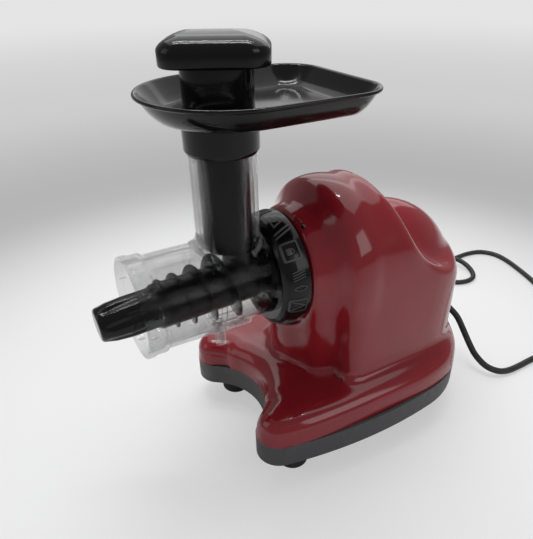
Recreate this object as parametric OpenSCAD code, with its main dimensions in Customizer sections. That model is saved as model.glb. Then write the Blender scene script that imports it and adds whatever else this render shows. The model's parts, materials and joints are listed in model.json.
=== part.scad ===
// Cold press juicer: a horizontal auger turns in a clear drum on the front of a moulded housing.
// Frame: +Z up, the feet stand on z = 0, -Y is the front, and x = 0 is the plane of symmetry.
// Lengths along y are first counted from the feed chute's axis; place() centres the whole on y = 0.

/* [Housing] */
// Height of the drum's axis above the table
axis_z = 159.3; // [152:0.1:170]
// Height of the joint between housing and base
seam_z = 44; // [40:0.5:50]
// Wall of the housing shell
shell_wall = 2.6; // [2:0.1:3.5]
// Half width of the base at its widest
half_width = 87.7; // [80:0.1:96]
// Place along y of the widest point
widest_y = 96; // [80:1:110]
// Radius of the long side curve
side_r = 416; // [350:1:500]
// Centre along y of the round rear
rear_centre_y = 141; // [130:1:150]
// Radius of each front prong's tip
tip_r = 19; // [15:0.5:23]
// Centre along y of each prong's tip
tip_y = 7; // [0:0.5:14]
// Centre along y of the hollow between the prongs
notch_y = -35; // [-50:1:-25]
// Height of the deck round the body
deck_z = 67; // [62:0.5:74]
// Rounding of the deck's edge
deck_round = 13; // [8:0.5:18]
// Half width of the body's side walls
body_half_w = 66; // [60:0.5:72]
// Height of the arch's centre
arch_z = 158; // [150:0.5:172]
// Place along y of the body's front face
body_front_y = 71; // [64:0.5:80]
// Centre along y of the body's round back
body_back_y = 151.5; // [145:0.5:160]
// Height of the shoulder that the arch runs down to
shoulder_z = 140; // [125:1:155]
// Height of the rear dome
dome_z = 195.5; // [185:0.5:205]
// Radius of the neck's front edge
neck_r = 46.5; // [44:0.1:50]
// Place along y of the neck's front face
neck_y = 46; // [44:0.5:50]

/* [Base] */
// Height of the base tray's underside
base_low_z = 24; // [18:0.5:28]
// Thickness of the base tray's wall and floor
base_wall = 2.8; // [2:0.1:4]
// Radius of a rubber foot
foot_r = 13; // [10:0.5:16]
// Height of a rubber foot
foot_h = 14; // [8:0.5:18]
// Front feet, half distance apart
front_foot_x = 55.4; // [48:0.1:60]
// Front feet, place along y
front_foot_y = 22; // [16:0.5:30]
// Rear feet, half distance apart
rear_foot_x = 50; // [40:0.5:60]
// Rear feet, place along y
rear_foot_y = 180; // [165:1:190]

/* [Drum] */
// Outer radius of the drum's barrel
drum_r = 35.2; // [34:0.1:37]
// Wall of the clear mouldings
drum_wall = 2.6; // [2:0.1:3]
// Outer radius of the drum's rear chamber
chamber_r = 32.4; // [31.5:0.1:33]
// How far the mouth's rim stands out from the barrel
rim_out = 2.7; // [2:0.1:5]
// Place along y of the mouth
mouth_y = -78.5; // [-90:0.5:-70]
// Place along y of the shoulder between barrel and chamber
drum_shoulder_y = -20; // [-26:0.5:-14]
// Outer radius of the feed chute
chute_r = 23.2; // [21:0.1:25]
// Height of the chute's top
chute_top_z = 272; // [250:1:290]
// Length of the juice spout below the drum
spout_len = 20; // [10:0.5:28]
// Outer radius of the juice spout
spout_r = 4; // [3:0.1:6]

/* [Locking ring] */
// Outer radius of the ring
ring_r = 45.6; // [44.5:0.1:48]
// Place along y of the ring's front
ring_front_y = 23.5; // [22:0.1:24]
// Length of the ring
ring_len = 21; // [20:0.1:21.5]
// Number of grip pads
pad_count = 12; // [6:1:16]

/* [Auger] */
// Radius of the auger's core
core_r = 17; // [14:0.1:18]
// Radius of the nose at its tip
nose_tip_r = 12; // [9:0.1:13]
// Length of the nose from the first flight to the tip
nose_len = 42; // [30:0.5:50]
// Radius of the largest flight
flight_r = 27; // [24:0.1:27.4]
// How far the loose auger droops, in degrees
auger_droop = 2.1; // [0:0.1:2.4]

/* [Feed tray] */
// Height of the tray's rim
tray_z = 298; // [294:1:312]
// Depth of the tray
tray_depth = 16; // [12:0.5:19]
// Half width of the tray
tray_half_w = 61; // [50:0.5:75]
// Place along y of the tray's round front centre
tray_front_y = 8; // [0:1:15]
// Place along y of the tray's rear edge
tray_rear_y = 97; // [80:1:115]
// Wall of the tray
tray_wall = 2.2; // [1.6:0.1:3]
// Height of the collar's lower edge
collar_low_z = 259; // [235:1:264]

/* [Pusher] */
// Gap between the pusher's shaft and the chute's bore
pusher_gap = 2.8; // [1:0.1:5]
// Height of the shaft's lower end
pusher_low_z = 189; // [188:1:200]
// Height of the underside of the cap
cap_low_z = 312.5; // [306:0.5:316]
// Height of the cap
cap_h = 19; // [16:0.5:30]
// Half length of the cap
cap_half_len = 34; // [28:0.5:40]
// How far the cap is turned about the chute, in degrees
cap_turn = -30; // [-90:1:90]

/* [Gear train] */
// Teeth of the output gear
output_teeth = 60; // [60:1:60]
// Teeth of the idler's pinion
idler_pinion_teeth = 12; // [12:1:12]
// Teeth of the idler's gear
idler_teeth = 60; // [60:1:60]
// Teeth of the motor's pinion
motor_pinion_teeth = 10; // [10:1:10]
// Module of the slow pair
slow_module = 1.25; // [1.1:0.05:1.25]
// Module of the fast pair
fast_module = 1; // [0.9:0.05:1]
// Outer radius of the motor's stator
stator_r = 35; // [30:0.5:36]
// Length of the motor's stator
stator_len = 42; // [30:1:46]

/* [Cord] */
// Diameter of the mains cord
cord_d = 6.4; // [5:0.1:8]

/* [Hidden] */
$fn = 96;

// Small clearances
run_gap = 0.3;
fit_gap = 0.05;
touch_gap = 0.02;

// Plan of the housing: tangent arcs for the notch, the tip, the side and the rear
side_cx = half_width - side_r;
tip_x = side_cx + sqrt(pow(side_r - tip_r, 2) - pow(tip_y - widest_y, 2));
notch_r = norm([tip_x, tip_y - notch_y]) - tip_r;
rear_r = side_r - norm([side_cx, rear_centre_y - widest_y]);
rear_end_y = rear_centre_y + rear_r;
notch_angle = atan2(tip_y - notch_y, tip_x);
tip_end_angle = atan2(tip_y - widest_y, tip_x - side_cx);
rear_start_angle = atan2(rear_centre_y - widest_y, -side_cx);

// Drum, ring and socket, which all share the drum's axis
barrel_in_r = drum_r - drum_wall;
rim_r = drum_r + rim_out;
chamber_in_r = chamber_r - drum_wall;
chute_in_r = chute_r - drum_wall;
bell_r = rim_r - 0.9;
bell_len = 14.5;
rim_len = 5.5;
ring_wall = 3.4;
lip_len = 2.5;
flange_len = 3.4;
flange_y = ring_front_y + lip_len + run_gap;
flange_r = chamber_r + 4.2;
socket_y = flange_y + flange_len + run_gap;
socket_r = ring_r - ring_wall - 2.5;
socket_bore_r = chamber_r + 0.6;
spigot_len = 12;
spigot_end_y = socket_y + spigot_len;
socket_wall_y = spigot_end_y + run_gap;
socket_wall_len = 4;
socket_end_y = 56.9;
shaft_bore_r = 14.4;
lug_depth = 1.8;
lug_len = 4;
lug_count = 3;
lug_angle = 18;
lock_angle = 40;
groove_y = socket_y + 6;
neck_hole_r = socket_r + run_gap;

// Auger
auger_pivot_y = 54.5;
collar_r_auger = 24;
stub_y = 18;
stub_r = 8;
trough_len = 27;
trough_r = 36;
spout_y = -13;
gasket_y = spigot_end_y - 7;
pad_half_w = 5.6;
pad_h = 0.8;
nose_y = -62;
collar_y = 31;
collar_len = 5;
hub_r = 12.6;
hub_end_y = socket_wall_y + socket_wall_len - 1;
hex_af = 12;
hex_gap = 0.4;
hex_end_y = 60;
shaft_face_y = 51;
nose_tip_y = auger_pivot_y - (auger_pivot_y - nose_y + nose_len) * cos(auger_droop)
    - (nose_tip_r - 2) * sin(auger_droop);

// Middle lines of the housing's forms
inner_point = [0, 110, seam_z];
crest_y = 117.5;
crest_z = 224;
crest_low_y = 130;
crest_low_z = 178;
neck_len = 40;
neck_flare = 0.019;
dome_y = 132;
dome_mid_z = 101;
dome_half_w = 52.5;
dome_half_len = 94.5;
dome_power = 2;
bib_y = 54;

// Floor of the base, and what stands on it
floor_z = base_low_z + base_wall;
screw_r = 1.9;
foot_spots = [
    [-front_foot_x, front_foot_y], [front_foot_x, front_foot_y],
    [-rear_foot_x, rear_foot_y], [rear_foot_x, rear_foot_y]
];
board_x = -70;
board_y = 120;
board_z = 36;
board_w = 36;
board_len = 52;
board_spots = [
    for (x = [4, board_w - 4])
        for (y = [4, board_len - 4])
            [board_x + x, board_y + y]
];

// Gearbox and motor axes lie one above the other in the plane x = 0
slow_distance = slow_module * (output_teeth + idler_pinion_teeth) / 2;
fast_distance = fast_module * (idler_teeth + motor_pinion_teeth) / 2;
idler_z = axis_z - slow_distance;
motor_z = idler_z - fast_distance;
case_y = 60;
case_wall = 3;
case_end_y = 98;
cover_len = 4;
cover_end_y = case_end_y + cover_len;
gear_room = 2.5;
output_case_r = slow_module * (output_teeth / 2 + 1) + gear_room + case_wall;
idler_case_r = fast_module * (idler_teeth / 2 + 1) + gear_room + case_wall;
pinion_case_r = fast_module * (motor_pinion_teeth / 2 + 1) + gear_room + case_wall;
fast_gear_y = case_y + case_wall + 2;
fast_gear_len = 10;
slow_gear_y = fast_gear_y + fast_gear_len + 3;
slow_gear_len = 14;
output_shaft_r = 11;
output_tail_r = 8;
idler_shaft_r = 4;
motor_shaft_r = 3;
bearing_len = 6;
frame_len = 5;
front_frame_y = cover_end_y;
stator_y = front_frame_y + 22;
stator_end_y = stator_y + stator_len;
rear_frame_y = stator_end_y + 16;
rear_frame_end_y = rear_frame_y + frame_len;
shaft_end_y = rear_frame_end_y + 16;
stator_in_r = 21.5;
rotor_r = 21;
fan_y = rear_frame_end_y + 4;
output_bearing_r = 17;
tail_bearing_r = 14;
tail_bearing_y = cover_end_y - bearing_len - 0.5;
idler_bearing_r = 9;
idler_bearing_y = cover_end_y - bearing_len - 0.5;
motor_bearing_r = 8;
boss_r = 20;
seal_r = 15.5;
tooth_pressure = 25;
tooth_play = 0.06;
case_screws = [
    [-33, axis_z + 29], [33, axis_z + 29], [-36.5, idler_z + 9], [36.5, idler_z + 9],
    [0, motor_z - 13]
];
bracket_screws = [[-12, 72], [12, 72], [-12, 86], [12, 86]];
cradle_screws = [
    [-18, stator_y + 10], [18, stator_y + 10], [-18, stator_end_y - 10], [18, stator_end_y - 10]
];
screw_spots = concat(bracket_screws, cradle_screws);

// Tray and pusher
tray_low_z = tray_z - tray_depth;
collar_in_r = chute_r + fit_gap;
collar_r = collar_in_r + 2.5;
sleeve_r = chute_r - 0.1;
pusher_r = chute_in_r - pusher_gap;
tray_floor_half_w = tray_half_w - 13.5;
tray_corner_r = 28;
corner_r = 15;
cap_half_w = 24.5;
cap_round = 9;
cap_crown = 2.6;
// Height, inset and share of the length for each step of the cap's rounded, crowned top
cap_levels = [
    [cap_h - cap_round, 0, 1], [cap_h - 0.66 * cap_round, 0.8, 1],
    [cap_h - cap_crown - 0.16 * cap_round, 3.6, 1], [cap_h - cap_crown + 0.4, 7.5, 1],
    [cap_h - 0.3 * cap_crown, 8.5, 0.6], [cap_h, 10, 0.2]
];

// Switch, gland and cord
switch_z = 92;
switch_half_w = 11;
switch_half_h = 14;
switch_y = rear_end_y + 2.5;
rocker_r = 10.8;
rocker_y = switch_y - 7.5;
rocker_tilt = 7;
gland_x = -6;
gland_z = 62;
gland_r = 6.5;
gland_start_y = rear_end_y + 2.4;
gland_bend_r = 18;
gland_bend = 70;
gland_lean = [0.8, 0, -0.6];
cord_r = cord_d / 2;
lie_z = cord_r;
gland_end_r = cord_r + 1.2;
exit_way = cos(gland_bend) * [0, 1, 0] + sin(gland_bend) * gland_lean;
exit_point = gland_point(gland_bend);
coil_x = -112;
coil_y = 290;
coil_mid_r = 35;
coil_turns = 3;
cord_pitch = cord_d - 0.1;
coil_half_w = 1.5 * cord_d + 0.2;
plug_x = -190;
plug_y = 240;
plug_len = 38;
plug_h = 26;

// Middle of the length, which place() moves to y = 0
rear_most_y = exit_point[1] + gland_end_r * sqrt(1 - pow(exit_way[1], 2));
mid_y = (nose_tip_y + rear_most_y) / 2;

// Route of the loose cord, from the gland to the coil, in round numbers chosen by hand
cord_path = concat([exit_point + touch_gap * exit_way], [
    [10, 248, 50], [17, 250, 44.5], [28, 250, 34], [39, 249, 24.6], [49.5, 248.5, 17.2],
    [61.5, 251.6, 10.5], [70.3, 260.6, 5.9], [74, 273, 3.8], [74.5, 290, lie_z], [74, 310, lie_z],
    [75, 332, lie_z], [71, 354, lie_z], [61, 375, lie_z], [44, 396, lie_z], [22, 415, lie_z],
    [-4, 433, lie_z], [-32, 447, lie_z], [-62, 457, lie_z], [-90, 464, lie_z],
    [-111, 464, lie_z], [-127, 453, lie_z], [-133, 434, lie_z], [-133, 414, lie_z],
    [-132, 393, lie_z], [-128.5, 372, lie_z], [-118, 356, lie_z], [-101, 350.5, lie_z],
    [-85, 357.5, lie_z], [-78.5, 373, lie_z], [-82, 389, lie_z], [-95.5, 399.5, 4],
    [-112, 401, 7.5], [-129, 395, 9.8], [-142, 383, 9], [-149, 366, 6], [-152, 347, 3.6],
    [-153.5, 325, lie_z], [-151.9, 300.8, lie_z]
]);

// Route of the lead that climbs out of the coil's inner turn and ends in the plug
lead_path = [
    [-96.4, 308.5, lie_z], [-101, 311.6, 4.4], [-107, 314, 6.6], [-113.5, 315.8, 8.8],
    [-124, 318, 9.8], [-138, 320.5, 9.8], [-152, 322, 10.2], [-166, 322, 11.2],
    [-179, 316, 12.3], [-187, 305, 12.9], [plug_x, plug_y + plug_len + 14, plug_h / 2]
];

// Middle line of the gland, which is bent sideways and down under the cord's pull
function gland_point(turn) =
    [gland_x, gland_start_y, gland_z]
    + gland_bend_r * (sin(turn) * [0, 1, 0] + (1 - cos(turn)) * gland_lean);

// A smooth union and a smooth intersection of two distances, blended over k
function blend_min(a, b, k) = min(a, b) - pow(max(k - abs(a - b), 0), 2) / (4 * k);
function blend_max(a, b, k) = -blend_min(-a, -b, k);

// The housing's forms as distances, negative inside; x is always given as its absolute value
function plan_gap(x, y) =
    let (
        side = norm([x - side_cx, y - widest_y]) - side_r,
        rear = norm([x, max(y - rear_centre_y, 0)]) - rear_r,
        tip = norm([x - tip_x, y - tip_y]) - tip_r,
        pronged = max(blend_max(side, rear, 6), min(tip_y - y, tip))
    )
    x < tip_x ? max(pronged, notch_r - norm([x, y - notch_y])) : pronged;

function deck_gap(x, y, z) =
    let (
        side = plan_gap(x, y) + 0.06 * (z - seam_z) + deck_round,
        top = z - (deck_z - deck_round)
    )
    min(max(side, top), 0) + norm([max(side, 0), max(top, 0)]) - deck_round;

function body_gap(x, y, z) =
    let (
        arch = norm([x, max(z - arch_z, 0)]) - body_half_w,
        steep = 0.95 * (y - crest_y) + 0.312 * (z - crest_z),
        gentle = 0.672 * (y - crest_low_y) + 0.741 * (z - crest_low_z),
        crest = blend_min(steep, gentle, 10),
        roof = blend_max(arch, blend_min(crest, z - shoulder_z, 24), 12),
        faced = blend_max(roof, body_front_y - y, 15)
    )
    blend_max(faced, norm([x, max(y - body_back_y, 0)]) - body_half_w, 10);

function dome_gap(x, y, z) =
    let (
        u = pow(x / dome_half_w, dome_power),
        v = pow(abs(y - dome_y) / dome_half_len, dome_power),
        w = pow(abs(z - dome_mid_z) / (dome_z - dome_mid_z), dome_power)
    )
    60 * (pow(u + v + w, 1 / dome_power) - 1);

function neck_gap(x, y, z) =
    let (flare = neck_flare * pow(min(max(y - neck_y, 0), 26), 2))
    blend_max(
        blend_max(norm([x, z - axis_z]) - neck_r - flare, neck_y - y, 3),
        y - neck_y - neck_len, 6
    );

function bib_gap(x, y, z) =
    let (
        side = x - 38 - 0.12 * (z - 60),
        front = max(bib_y - 0.13 * (z - 60), neck_y + 0.5) - y
    )
    blend_max(blend_max(blend_max(side, front, 16), z - 150, 10), y - 110, 4);

function housing_gap(p) =
    let (
        x = abs(p[0]),
        domed = blend_min(body_gap(x, p[1], p[2]), dome_gap(x, p[1], p[2]), 10),
        necked = blend_min(domed, neck_gap(x, p[1], p[2]), 14),
        bibbed = blend_min(necked, bib_gap(x, p[1], p[2]), 8),
        decked = blend_min(bibbed, deck_gap(x, p[1], p[2]), 12)
    )
    max(decked, min(neck_r + 2.5 - norm([x, p[2] - axis_z]), neck_y - p[1]));

// How far the wall is from the housing's inner point in one direction, found in short steps
function wall_reach(dir, depth, far, steps) =
    steps == 0 ? far
    : wall_reach(dir, depth, far - housing_gap(inner_point + far * dir) - depth, steps - 1);

function wall_point(turn, rise, depth) =
    let (dir = [cos(turn) * cos(rise), sin(turn) * cos(rise), sin(rise)])
    inner_point + wall_reach(dir, depth, 30, 24) * dir;

// Directions round the housing, closer together at the front
function turn_at(i, count) =
    i <= count / 2 ? front_spread(2 * i / count) - 90 : -90 - front_spread(2 - 2 * i / count);
function front_spread(t) = 180 * t * (0.55 + 0.45 * t);

// One layer of the housing's skin: rows from the seam up to the top, and the point at the top
function skin(turns, rows, depth) = concat(
    [
        for (i = [0:turns - 1])
            for (k = [0:rows - 1])
                wall_point(turn_at(i, turns), 90 * pow(k / rows, 1.25), depth)
    ],
    [wall_point(0, 90, depth)]
);

function skin_faces(turns, rows, start, inward) = [
    for (i = [0:turns - 1])
        let (a = start + i * rows, b = start + ((i + 1) % turns) * rows)
            for (k = [0:rows - 1])
                for (half = [0:k == rows - 1 ? 0 : 1])
                    let (
                        top = start + turns * rows,
                        third = k == rows - 1 ? top : b + k + 1,
                        face = half == 0 ? [a + k, third, b + k] : [a + k, a + k + 1, third]
                    )
                        inward ? [face[2], face[1], face[0]] : face
];

// Points on an arc, in an even number of steps
function arc(centre, r, from, to, steps) = [
    for (i = [0:steps])
        let (a = from + (to - from) * i / steps)
            centre + r * [cos(a), sin(a)]
];

// The plan of the base, drawn in by an inset
function base_plan(inset) = concat(
    arc([tip_x, tip_y], tip_r - inset, 180 + notch_angle, 359 + tip_end_angle, 14),
    arc([side_cx, widest_y], side_r - inset, tip_end_angle, rear_start_angle - 0.1, 12),
    arc([0, rear_centre_y], rear_r - inset, rear_start_angle, 179.9 - rear_start_angle, 32),
    arc([-side_cx, widest_y], side_r - inset, 180 - rear_start_angle, 179.9 - tip_end_angle, 12),
    arc([-tip_x, tip_y], tip_r - inset, 180 - tip_end_angle, 359 - notch_angle, 14),
    arc([0, notch_y], notch_r + inset, 180 - notch_angle, notch_angle + 1, 24)
);

// Involute gear teeth: half the tooth's angle at a radius, and the outline of the gear
function involute(a) = tan(a) * 180 / PI - a;
function tooth_half(teeth, mod, r) =
    let (
        pitch_r = mod * teeth / 2,
        base_r = pitch_r * cos(tooth_pressure),
        at = acos(min(1, base_r / max(r, base_r)))
    )
    90 / teeth - tooth_play * 180 / PI / pitch_r + involute(tooth_pressure) - involute(at);

function gear_points(teeth, mod, shift) =
    let (
        pitch_r = mod * teeth / 2,
        root = pitch_r - 1.15 * mod,
        base_r = pitch_r * cos(tooth_pressure),
        low = max(root + 0.1, base_r),
        tip = pitch_r + 0.9 * mod,
        radii = [root, low, (2 * low + tip) / 3, (low + 2 * tip) / 3, tip]
    )
    [
        for (i = [0:teeth - 1])
            for (j = [0:9])
                let (
                    r = j < 5 ? radii[j] : radii[9 - j],
                    side = j < 5 ? -1 : 1,
                    a = (i + shift) * 360 / teeth + side * tooth_half(teeth, mod, r)
                )
                    r * [cos(a), sin(a)]
    ];

// Helpers: solids about lines that run along +y, at a height above the table
module place() {
    translate([0, -mid_y, 0]) children();
}

module at_z(z) {
    translate([0, 0, z]) children();
}

module rod(y, len, r) {
    translate([0, y, 0]) rotate([-90, 0, 0]) cylinder(h = len, r = r);
}

module tube(y, len, r_out, r_in) {
    difference() {
        rod(y, len, r_out);
        rod(y - 1, len + 2, r_in);
    }
}

// A profile of [radius, y] points turned about the line
module turned(profile) {
    rotate([-90, 0, 0]) rotate_extrude() polygon(profile);
}

// A flat outline of [x, z] points made as thick as len from y
module plate(y, len) {
    translate([0, y + len, 0]) rotate([90, 0, 0]) linear_extrude(height = len) children();
}

module block(x0, y0, z0, x1, y1, z1) {
    translate([x0, y0, z0]) cube([x1 - x0, y1 - y0, z1 - z0]);
}

// Teeth or pads spread evenly round the drum's line
module around(count, first) {
    for (i = [0:count - 1])
        rotate([0, first + i * 360 / count, 0]) children();
}

// A sector of a ring: used for bayonet lugs
module lug(y, len, r_out, r_in, angle) {
    plate(y, len)
        polygon(concat(
            arc([0, 0], r_out, 90 - angle / 2, 90 + angle / 2, 8),
            arc([0, 0], r_in, 90 + angle / 2, 90 - angle / 2, 8)
        ));
}

module gear_disc(y, len, teeth, mod, shift, bore_r) {
    difference() {
        plate(y, len) polygon(gear_points(teeth, mod, shift));
        rod(y - 1, len + 2, bore_r);
    }
}

// Housing
module housing_shell() {
    turns = 88;
    outer_rows = 34;
    inner_rows = 15;
    inner_start = turns * outer_rows + 1;
    rim = [
        for (i = [0:turns - 1])
            let (
                a = i * outer_rows,
                b = ((i + 1) % turns) * outer_rows,
                c = inner_start + i * inner_rows,
                d = inner_start + ((i + 1) % turns) * inner_rows
            )
                for (face = [[a, b, d], [a, d, c]])
                    face
    ];
    color("darkred")
        place()
            difference() {
                polyhedron(
                    points = concat(
                        skin(turns, outer_rows, 0),
                        skin(turns, inner_rows, shell_wall)
                    ),
                    faces = concat(
                        skin_faces(turns, outer_rows, 0, false),
                        skin_faces(turns, inner_rows, inner_start, true),
                        rim
                    )
                );
                at_z(axis_z) rod(neck_y - 6, 14, neck_hole_r);
                block(
                    -switch_half_w - run_gap, 205, switch_z - switch_half_h - run_gap,
                    switch_half_w + run_gap, 240, switch_z + switch_half_h + run_gap
                );
                translate([gland_x, 0, gland_z]) rod(212, 30, gland_r + run_gap);
            }
}

// Base tray with its wall, feet bosses, screw posts and air slots
module base_tray() {
    color("dimgray")
        place()
            difference() {
                union() {
                    difference() {
                        at_z(base_low_z)
                            linear_extrude(height = seam_z - base_low_z - touch_gap)
                                polygon(base_plan(0));
                        at_z(floor_z)
                            linear_extrude(height = seam_z)
                                polygon(base_plan(base_wall));
                    }
                    for (spot = foot_spots)
                        translate([spot[0], spot[1], foot_h + touch_gap])
                            cylinder(h = floor_z - foot_h, r = foot_r);
                    for (spot = board_spots)
                        translate([spot[0], spot[1], base_low_z])
                            cylinder(h = board_z - base_low_z - touch_gap, r = 2.5);
                }
                for (spot = foot_spots)
                    translate([spot[0], spot[1], foot_h - 1]) cylinder(h = 7, r = 4.05);
                for (spot = screw_spots)
                    translate([spot[0], spot[1], base_low_z - 1])
                        cylinder(h = 20, r = screw_r + 0.05);
                for (i = [0:8])
                    block(-30, 150 + 6 * i, base_low_z - 1, 30, 153 + 6 * i, seam_z);
            }
}

module foot(i) {
    color("black")
        place()
            translate([foot_spots[i][0], foot_spots[i][1], 0]) {
                rotate_extrude()
                    polygon([
                        [0, 0], [foot_r - 1.5, 0], [foot_r, 1.5], [foot_r, foot_h], [0, foot_h]
                    ]);
                at_z(foot_h - 1) cylinder(h = 5, r = 4);
            }
}

module foot_front_left() foot(0);
module foot_front_right() foot(1);
module foot_rear_left() foot(2);
module foot_rear_right() foot(3);

module base_screws() {
    color("silver")
        place()
            for (spot = screw_spots)
                translate([spot[0], spot[1], base_low_z - 2]) {
                    difference() {
                        cylinder(h = 2 - touch_gap, r = 4);
                        translate([-0.6, -3, -1]) cube([1.2, 6, 2]);
                        translate([-3, -0.6, -1]) cube([6, 1.2, 2]);
                    }
                    cylinder(h = 13, r = screw_r);
                }
}

// The fixed socket that takes the drum's rear end and the ring's lugs
module drum_socket() {
    color("black")
        place()
            at_z(axis_z) {
                turned([
                    [socket_bore_r, socket_y], [socket_r, socket_y],
                    [socket_r, neck_y + 6], [boss_r, neck_y + 6], [boss_r, socket_end_y],
                    [seal_r, socket_end_y], [seal_r, shaft_face_y + 0.5],
                    [shaft_bore_r, shaft_face_y + 0.5], [shaft_bore_r, socket_wall_y],
                    [socket_bore_r, socket_wall_y]
                ]);
                around(lug_count, 0)
                    lug(socket_y + 1, lug_len, socket_r + lug_depth, socket_r - 1, lug_angle);
            }
}

module shaft_seal() {
    color("dimgray")
        place()
            at_z(axis_z)
                tube(shaft_face_y + 1, 4.5, seal_r - fit_gap, output_shaft_r + fit_gap);
}

// Gearbox
module case_outline(grow) {
    translate([0, axis_z]) circle(r = output_case_r + grow);
    translate([0, idler_z]) circle(r = idler_case_r + grow);
    translate([0, motor_z]) circle(r = pinion_case_r + grow);
}

module case_bosses(r) {
    for (spot = case_screws)
        translate(spot) circle(r = r);
}

module gearbox_case() {
    color("gray")
        place()
            difference() {
                union() {
                    plate(case_y, 2.1) case_outline(-2);
                    plate(case_y + 2, case_end_y - case_y - 2) case_outline(0);
                    plate(case_y + 4, case_end_y - case_y - 4) case_bosses(4.5);
                    at_z(axis_z) rod(case_y - 3, 5, output_bearing_r + 3);
                    at_z(idler_z) rod(case_y - 1.6, 5, idler_bearing_r + 2.4);
                }
                difference() {
                    plate(case_y + case_wall, case_end_y) case_outline(-case_wall);
                    plate(case_y, case_end_y) case_bosses(4.5);
                    at_z(idler_z) rod(case_y, case_wall + 1.5, idler_bearing_r + 2.4);
                }
                at_z(axis_z) rod(case_y - 4, 10, output_bearing_r + touch_gap);
                at_z(idler_z) rod(case_y - 1, 8, idler_bearing_r + touch_gap);
                for (spot = case_screws)
                    translate([spot[0], 0, spot[1]]) rod(case_end_y - 8, 20, screw_r);
            }
}

module gearbox_cover() {
    color("gray")
        place()
            difference() {
                union() {
                    plate(case_end_y + touch_gap, cover_len - touch_gap) {
                        case_outline(0);
                        case_bosses(4.5);
                    }
                    at_z(axis_z) rod(tail_bearing_y, cover_end_y - tail_bearing_y, tail_bearing_r + 3);
                    at_z(idler_z)
                        rod(idler_bearing_y, cover_end_y - idler_bearing_y, idler_bearing_r + 2.4);
                }
                at_z(axis_z) rod(tail_bearing_y - 1, 12, tail_bearing_r + touch_gap);
                at_z(idler_z) rod(idler_bearing_y - 1, bearing_len + 0.1, idler_bearing_r + touch_gap);
                at_z(motor_z) rod(case_end_y - 1, 8, motor_bearing_r + touch_gap);
                for (spot = case_screws)
                    translate([spot[0], 0, spot[1]]) rod(case_end_y - 1, 10, screw_r + 0.05);
            }
}

module gearbox_bracket() {
    color("dimgray")
        place()
            difference() {
                block(-16, 66, floor_z + touch_gap, 16, 92, motor_z);
                plate(60, 50) case_outline(fit_gap);
                plate(60, 50) case_bosses(4.6);
                block(-9, 60, floor_z + 5, 9, 100, motor_z - pinion_case_r - 4);
                for (spot = bracket_screws)
                    translate([spot[0], spot[1], base_low_z]) cylinder(h = 12, r = screw_r + 0.05);
            }
}

module gearbox_screws() {
    color("silver")
        place()
            for (spot = case_screws)
                translate([spot[0], 0, spot[1]]) {
                    rod(case_end_y - 7, 7 + cover_len, screw_r - 0.03);
                    difference() {
                        rod(cover_end_y + touch_gap, 2, 3);
                        rod(cover_end_y + 1, 3, 1.2);
                    }
                }
}

module output_bearings() {
    color("silver")
        place()
            at_z(axis_z) {
                tube(case_y - 3, bearing_len, output_bearing_r, output_shaft_r + fit_gap);
                tube(tail_bearing_y, bearing_len, tail_bearing_r, output_tail_r + fit_gap);
            }
}

module output_gear() {
    color("ivory")
        place()
            at_z(axis_z)
                difference() {
                    gear_disc(slow_gear_y, slow_gear_len, output_teeth, slow_module, 0,
                        output_shaft_r + touch_gap);
                    around(6, 0)
                        translate([0, 0, 24]) rod(slow_gear_y - 1, slow_gear_len + 2, 6);
                }
}

module drive_shaft() {
    color("silver")
        place()
            at_z(axis_z)
                difference() {
                    union() {
                        rod(shaft_face_y, slow_gear_y + slow_gear_len - shaft_face_y, output_shaft_r);
                        rod(slow_gear_y, tail_bearing_y + bearing_len - slow_gear_y, output_tail_r);
                    }
                    plate(shaft_face_y - 1, hex_end_y + 4 - shaft_face_y)
                        rotate(30) circle(r = (hex_af + hex_gap) / sqrt(3), $fn = 6);
                }
}

module idler_bearings() {
    color("silver")
        place()
            at_z(idler_z) {
                tube(case_y, 4.4, idler_bearing_r, idler_shaft_r + fit_gap);
                tube(idler_bearing_y, bearing_len - 1, idler_bearing_r, idler_shaft_r + fit_gap);
            }
}

module idler_shaft() {
    color("silver")
        place()
            at_z(idler_z) rod(case_y + 0.5, idler_bearing_y + 4.5 - case_y, idler_shaft_r);
}

module idler_gear() {
    color("ivory")
        place()
            at_z(idler_z)
                difference() {
                    gear_disc(fast_gear_y, fast_gear_len, idler_teeth, fast_module, 0,
                        idler_shaft_r + touch_gap);
                    around(6, 0)
                        translate([0, 0, 18]) rod(fast_gear_y - 1, fast_gear_len + 2, 5);
                }
}

module idler_pinion() {
    color("silver")
        place()
            at_z(idler_z)
                gear_disc(slow_gear_y, slow_gear_len, idler_pinion_teeth, slow_module, 0.5,
                    idler_shaft_r + touch_gap);
}

// Motor
module motor_front_frame() {
    color("silver")
        place()
            at_z(motor_z)
                difference() {
                    rod(front_frame_y + touch_gap, stator_y - front_frame_y - 2 * touch_gap, stator_r);
                    rod(front_frame_y + frame_len, stator_y, stator_r - 1.6);
                    rod(front_frame_y - 1, 10, motor_bearing_r + touch_gap);
                    around(4, 45)
                        block(-8, front_frame_y + frame_len + 3, 0, 8, stator_y - 3, 50);
                    for (z = [-13, 20])
                        translate([0, 0, z]) rod(front_frame_y - 1, 10, 4);
                }
}

module motor_rear_frame() {
    color("silver")
        place()
            at_z(motor_z)
                difference() {
                    rod(stator_end_y + touch_gap, rear_frame_end_y - stator_end_y, stator_r);
                    rod(stator_end_y - 1, rear_frame_y - stator_end_y + 1, stator_r - 1.6);
                    rod(rear_frame_y - 1, 10, motor_bearing_r + touch_gap);
                    around(4, 45)
                        block(-8, stator_end_y + 3, 0, 8, rear_frame_y - 3, 50);
                    around(6, 0)
                        translate([0, 0, 21]) rod(rear_frame_y - 1, 10, 6);
                }
}

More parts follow.
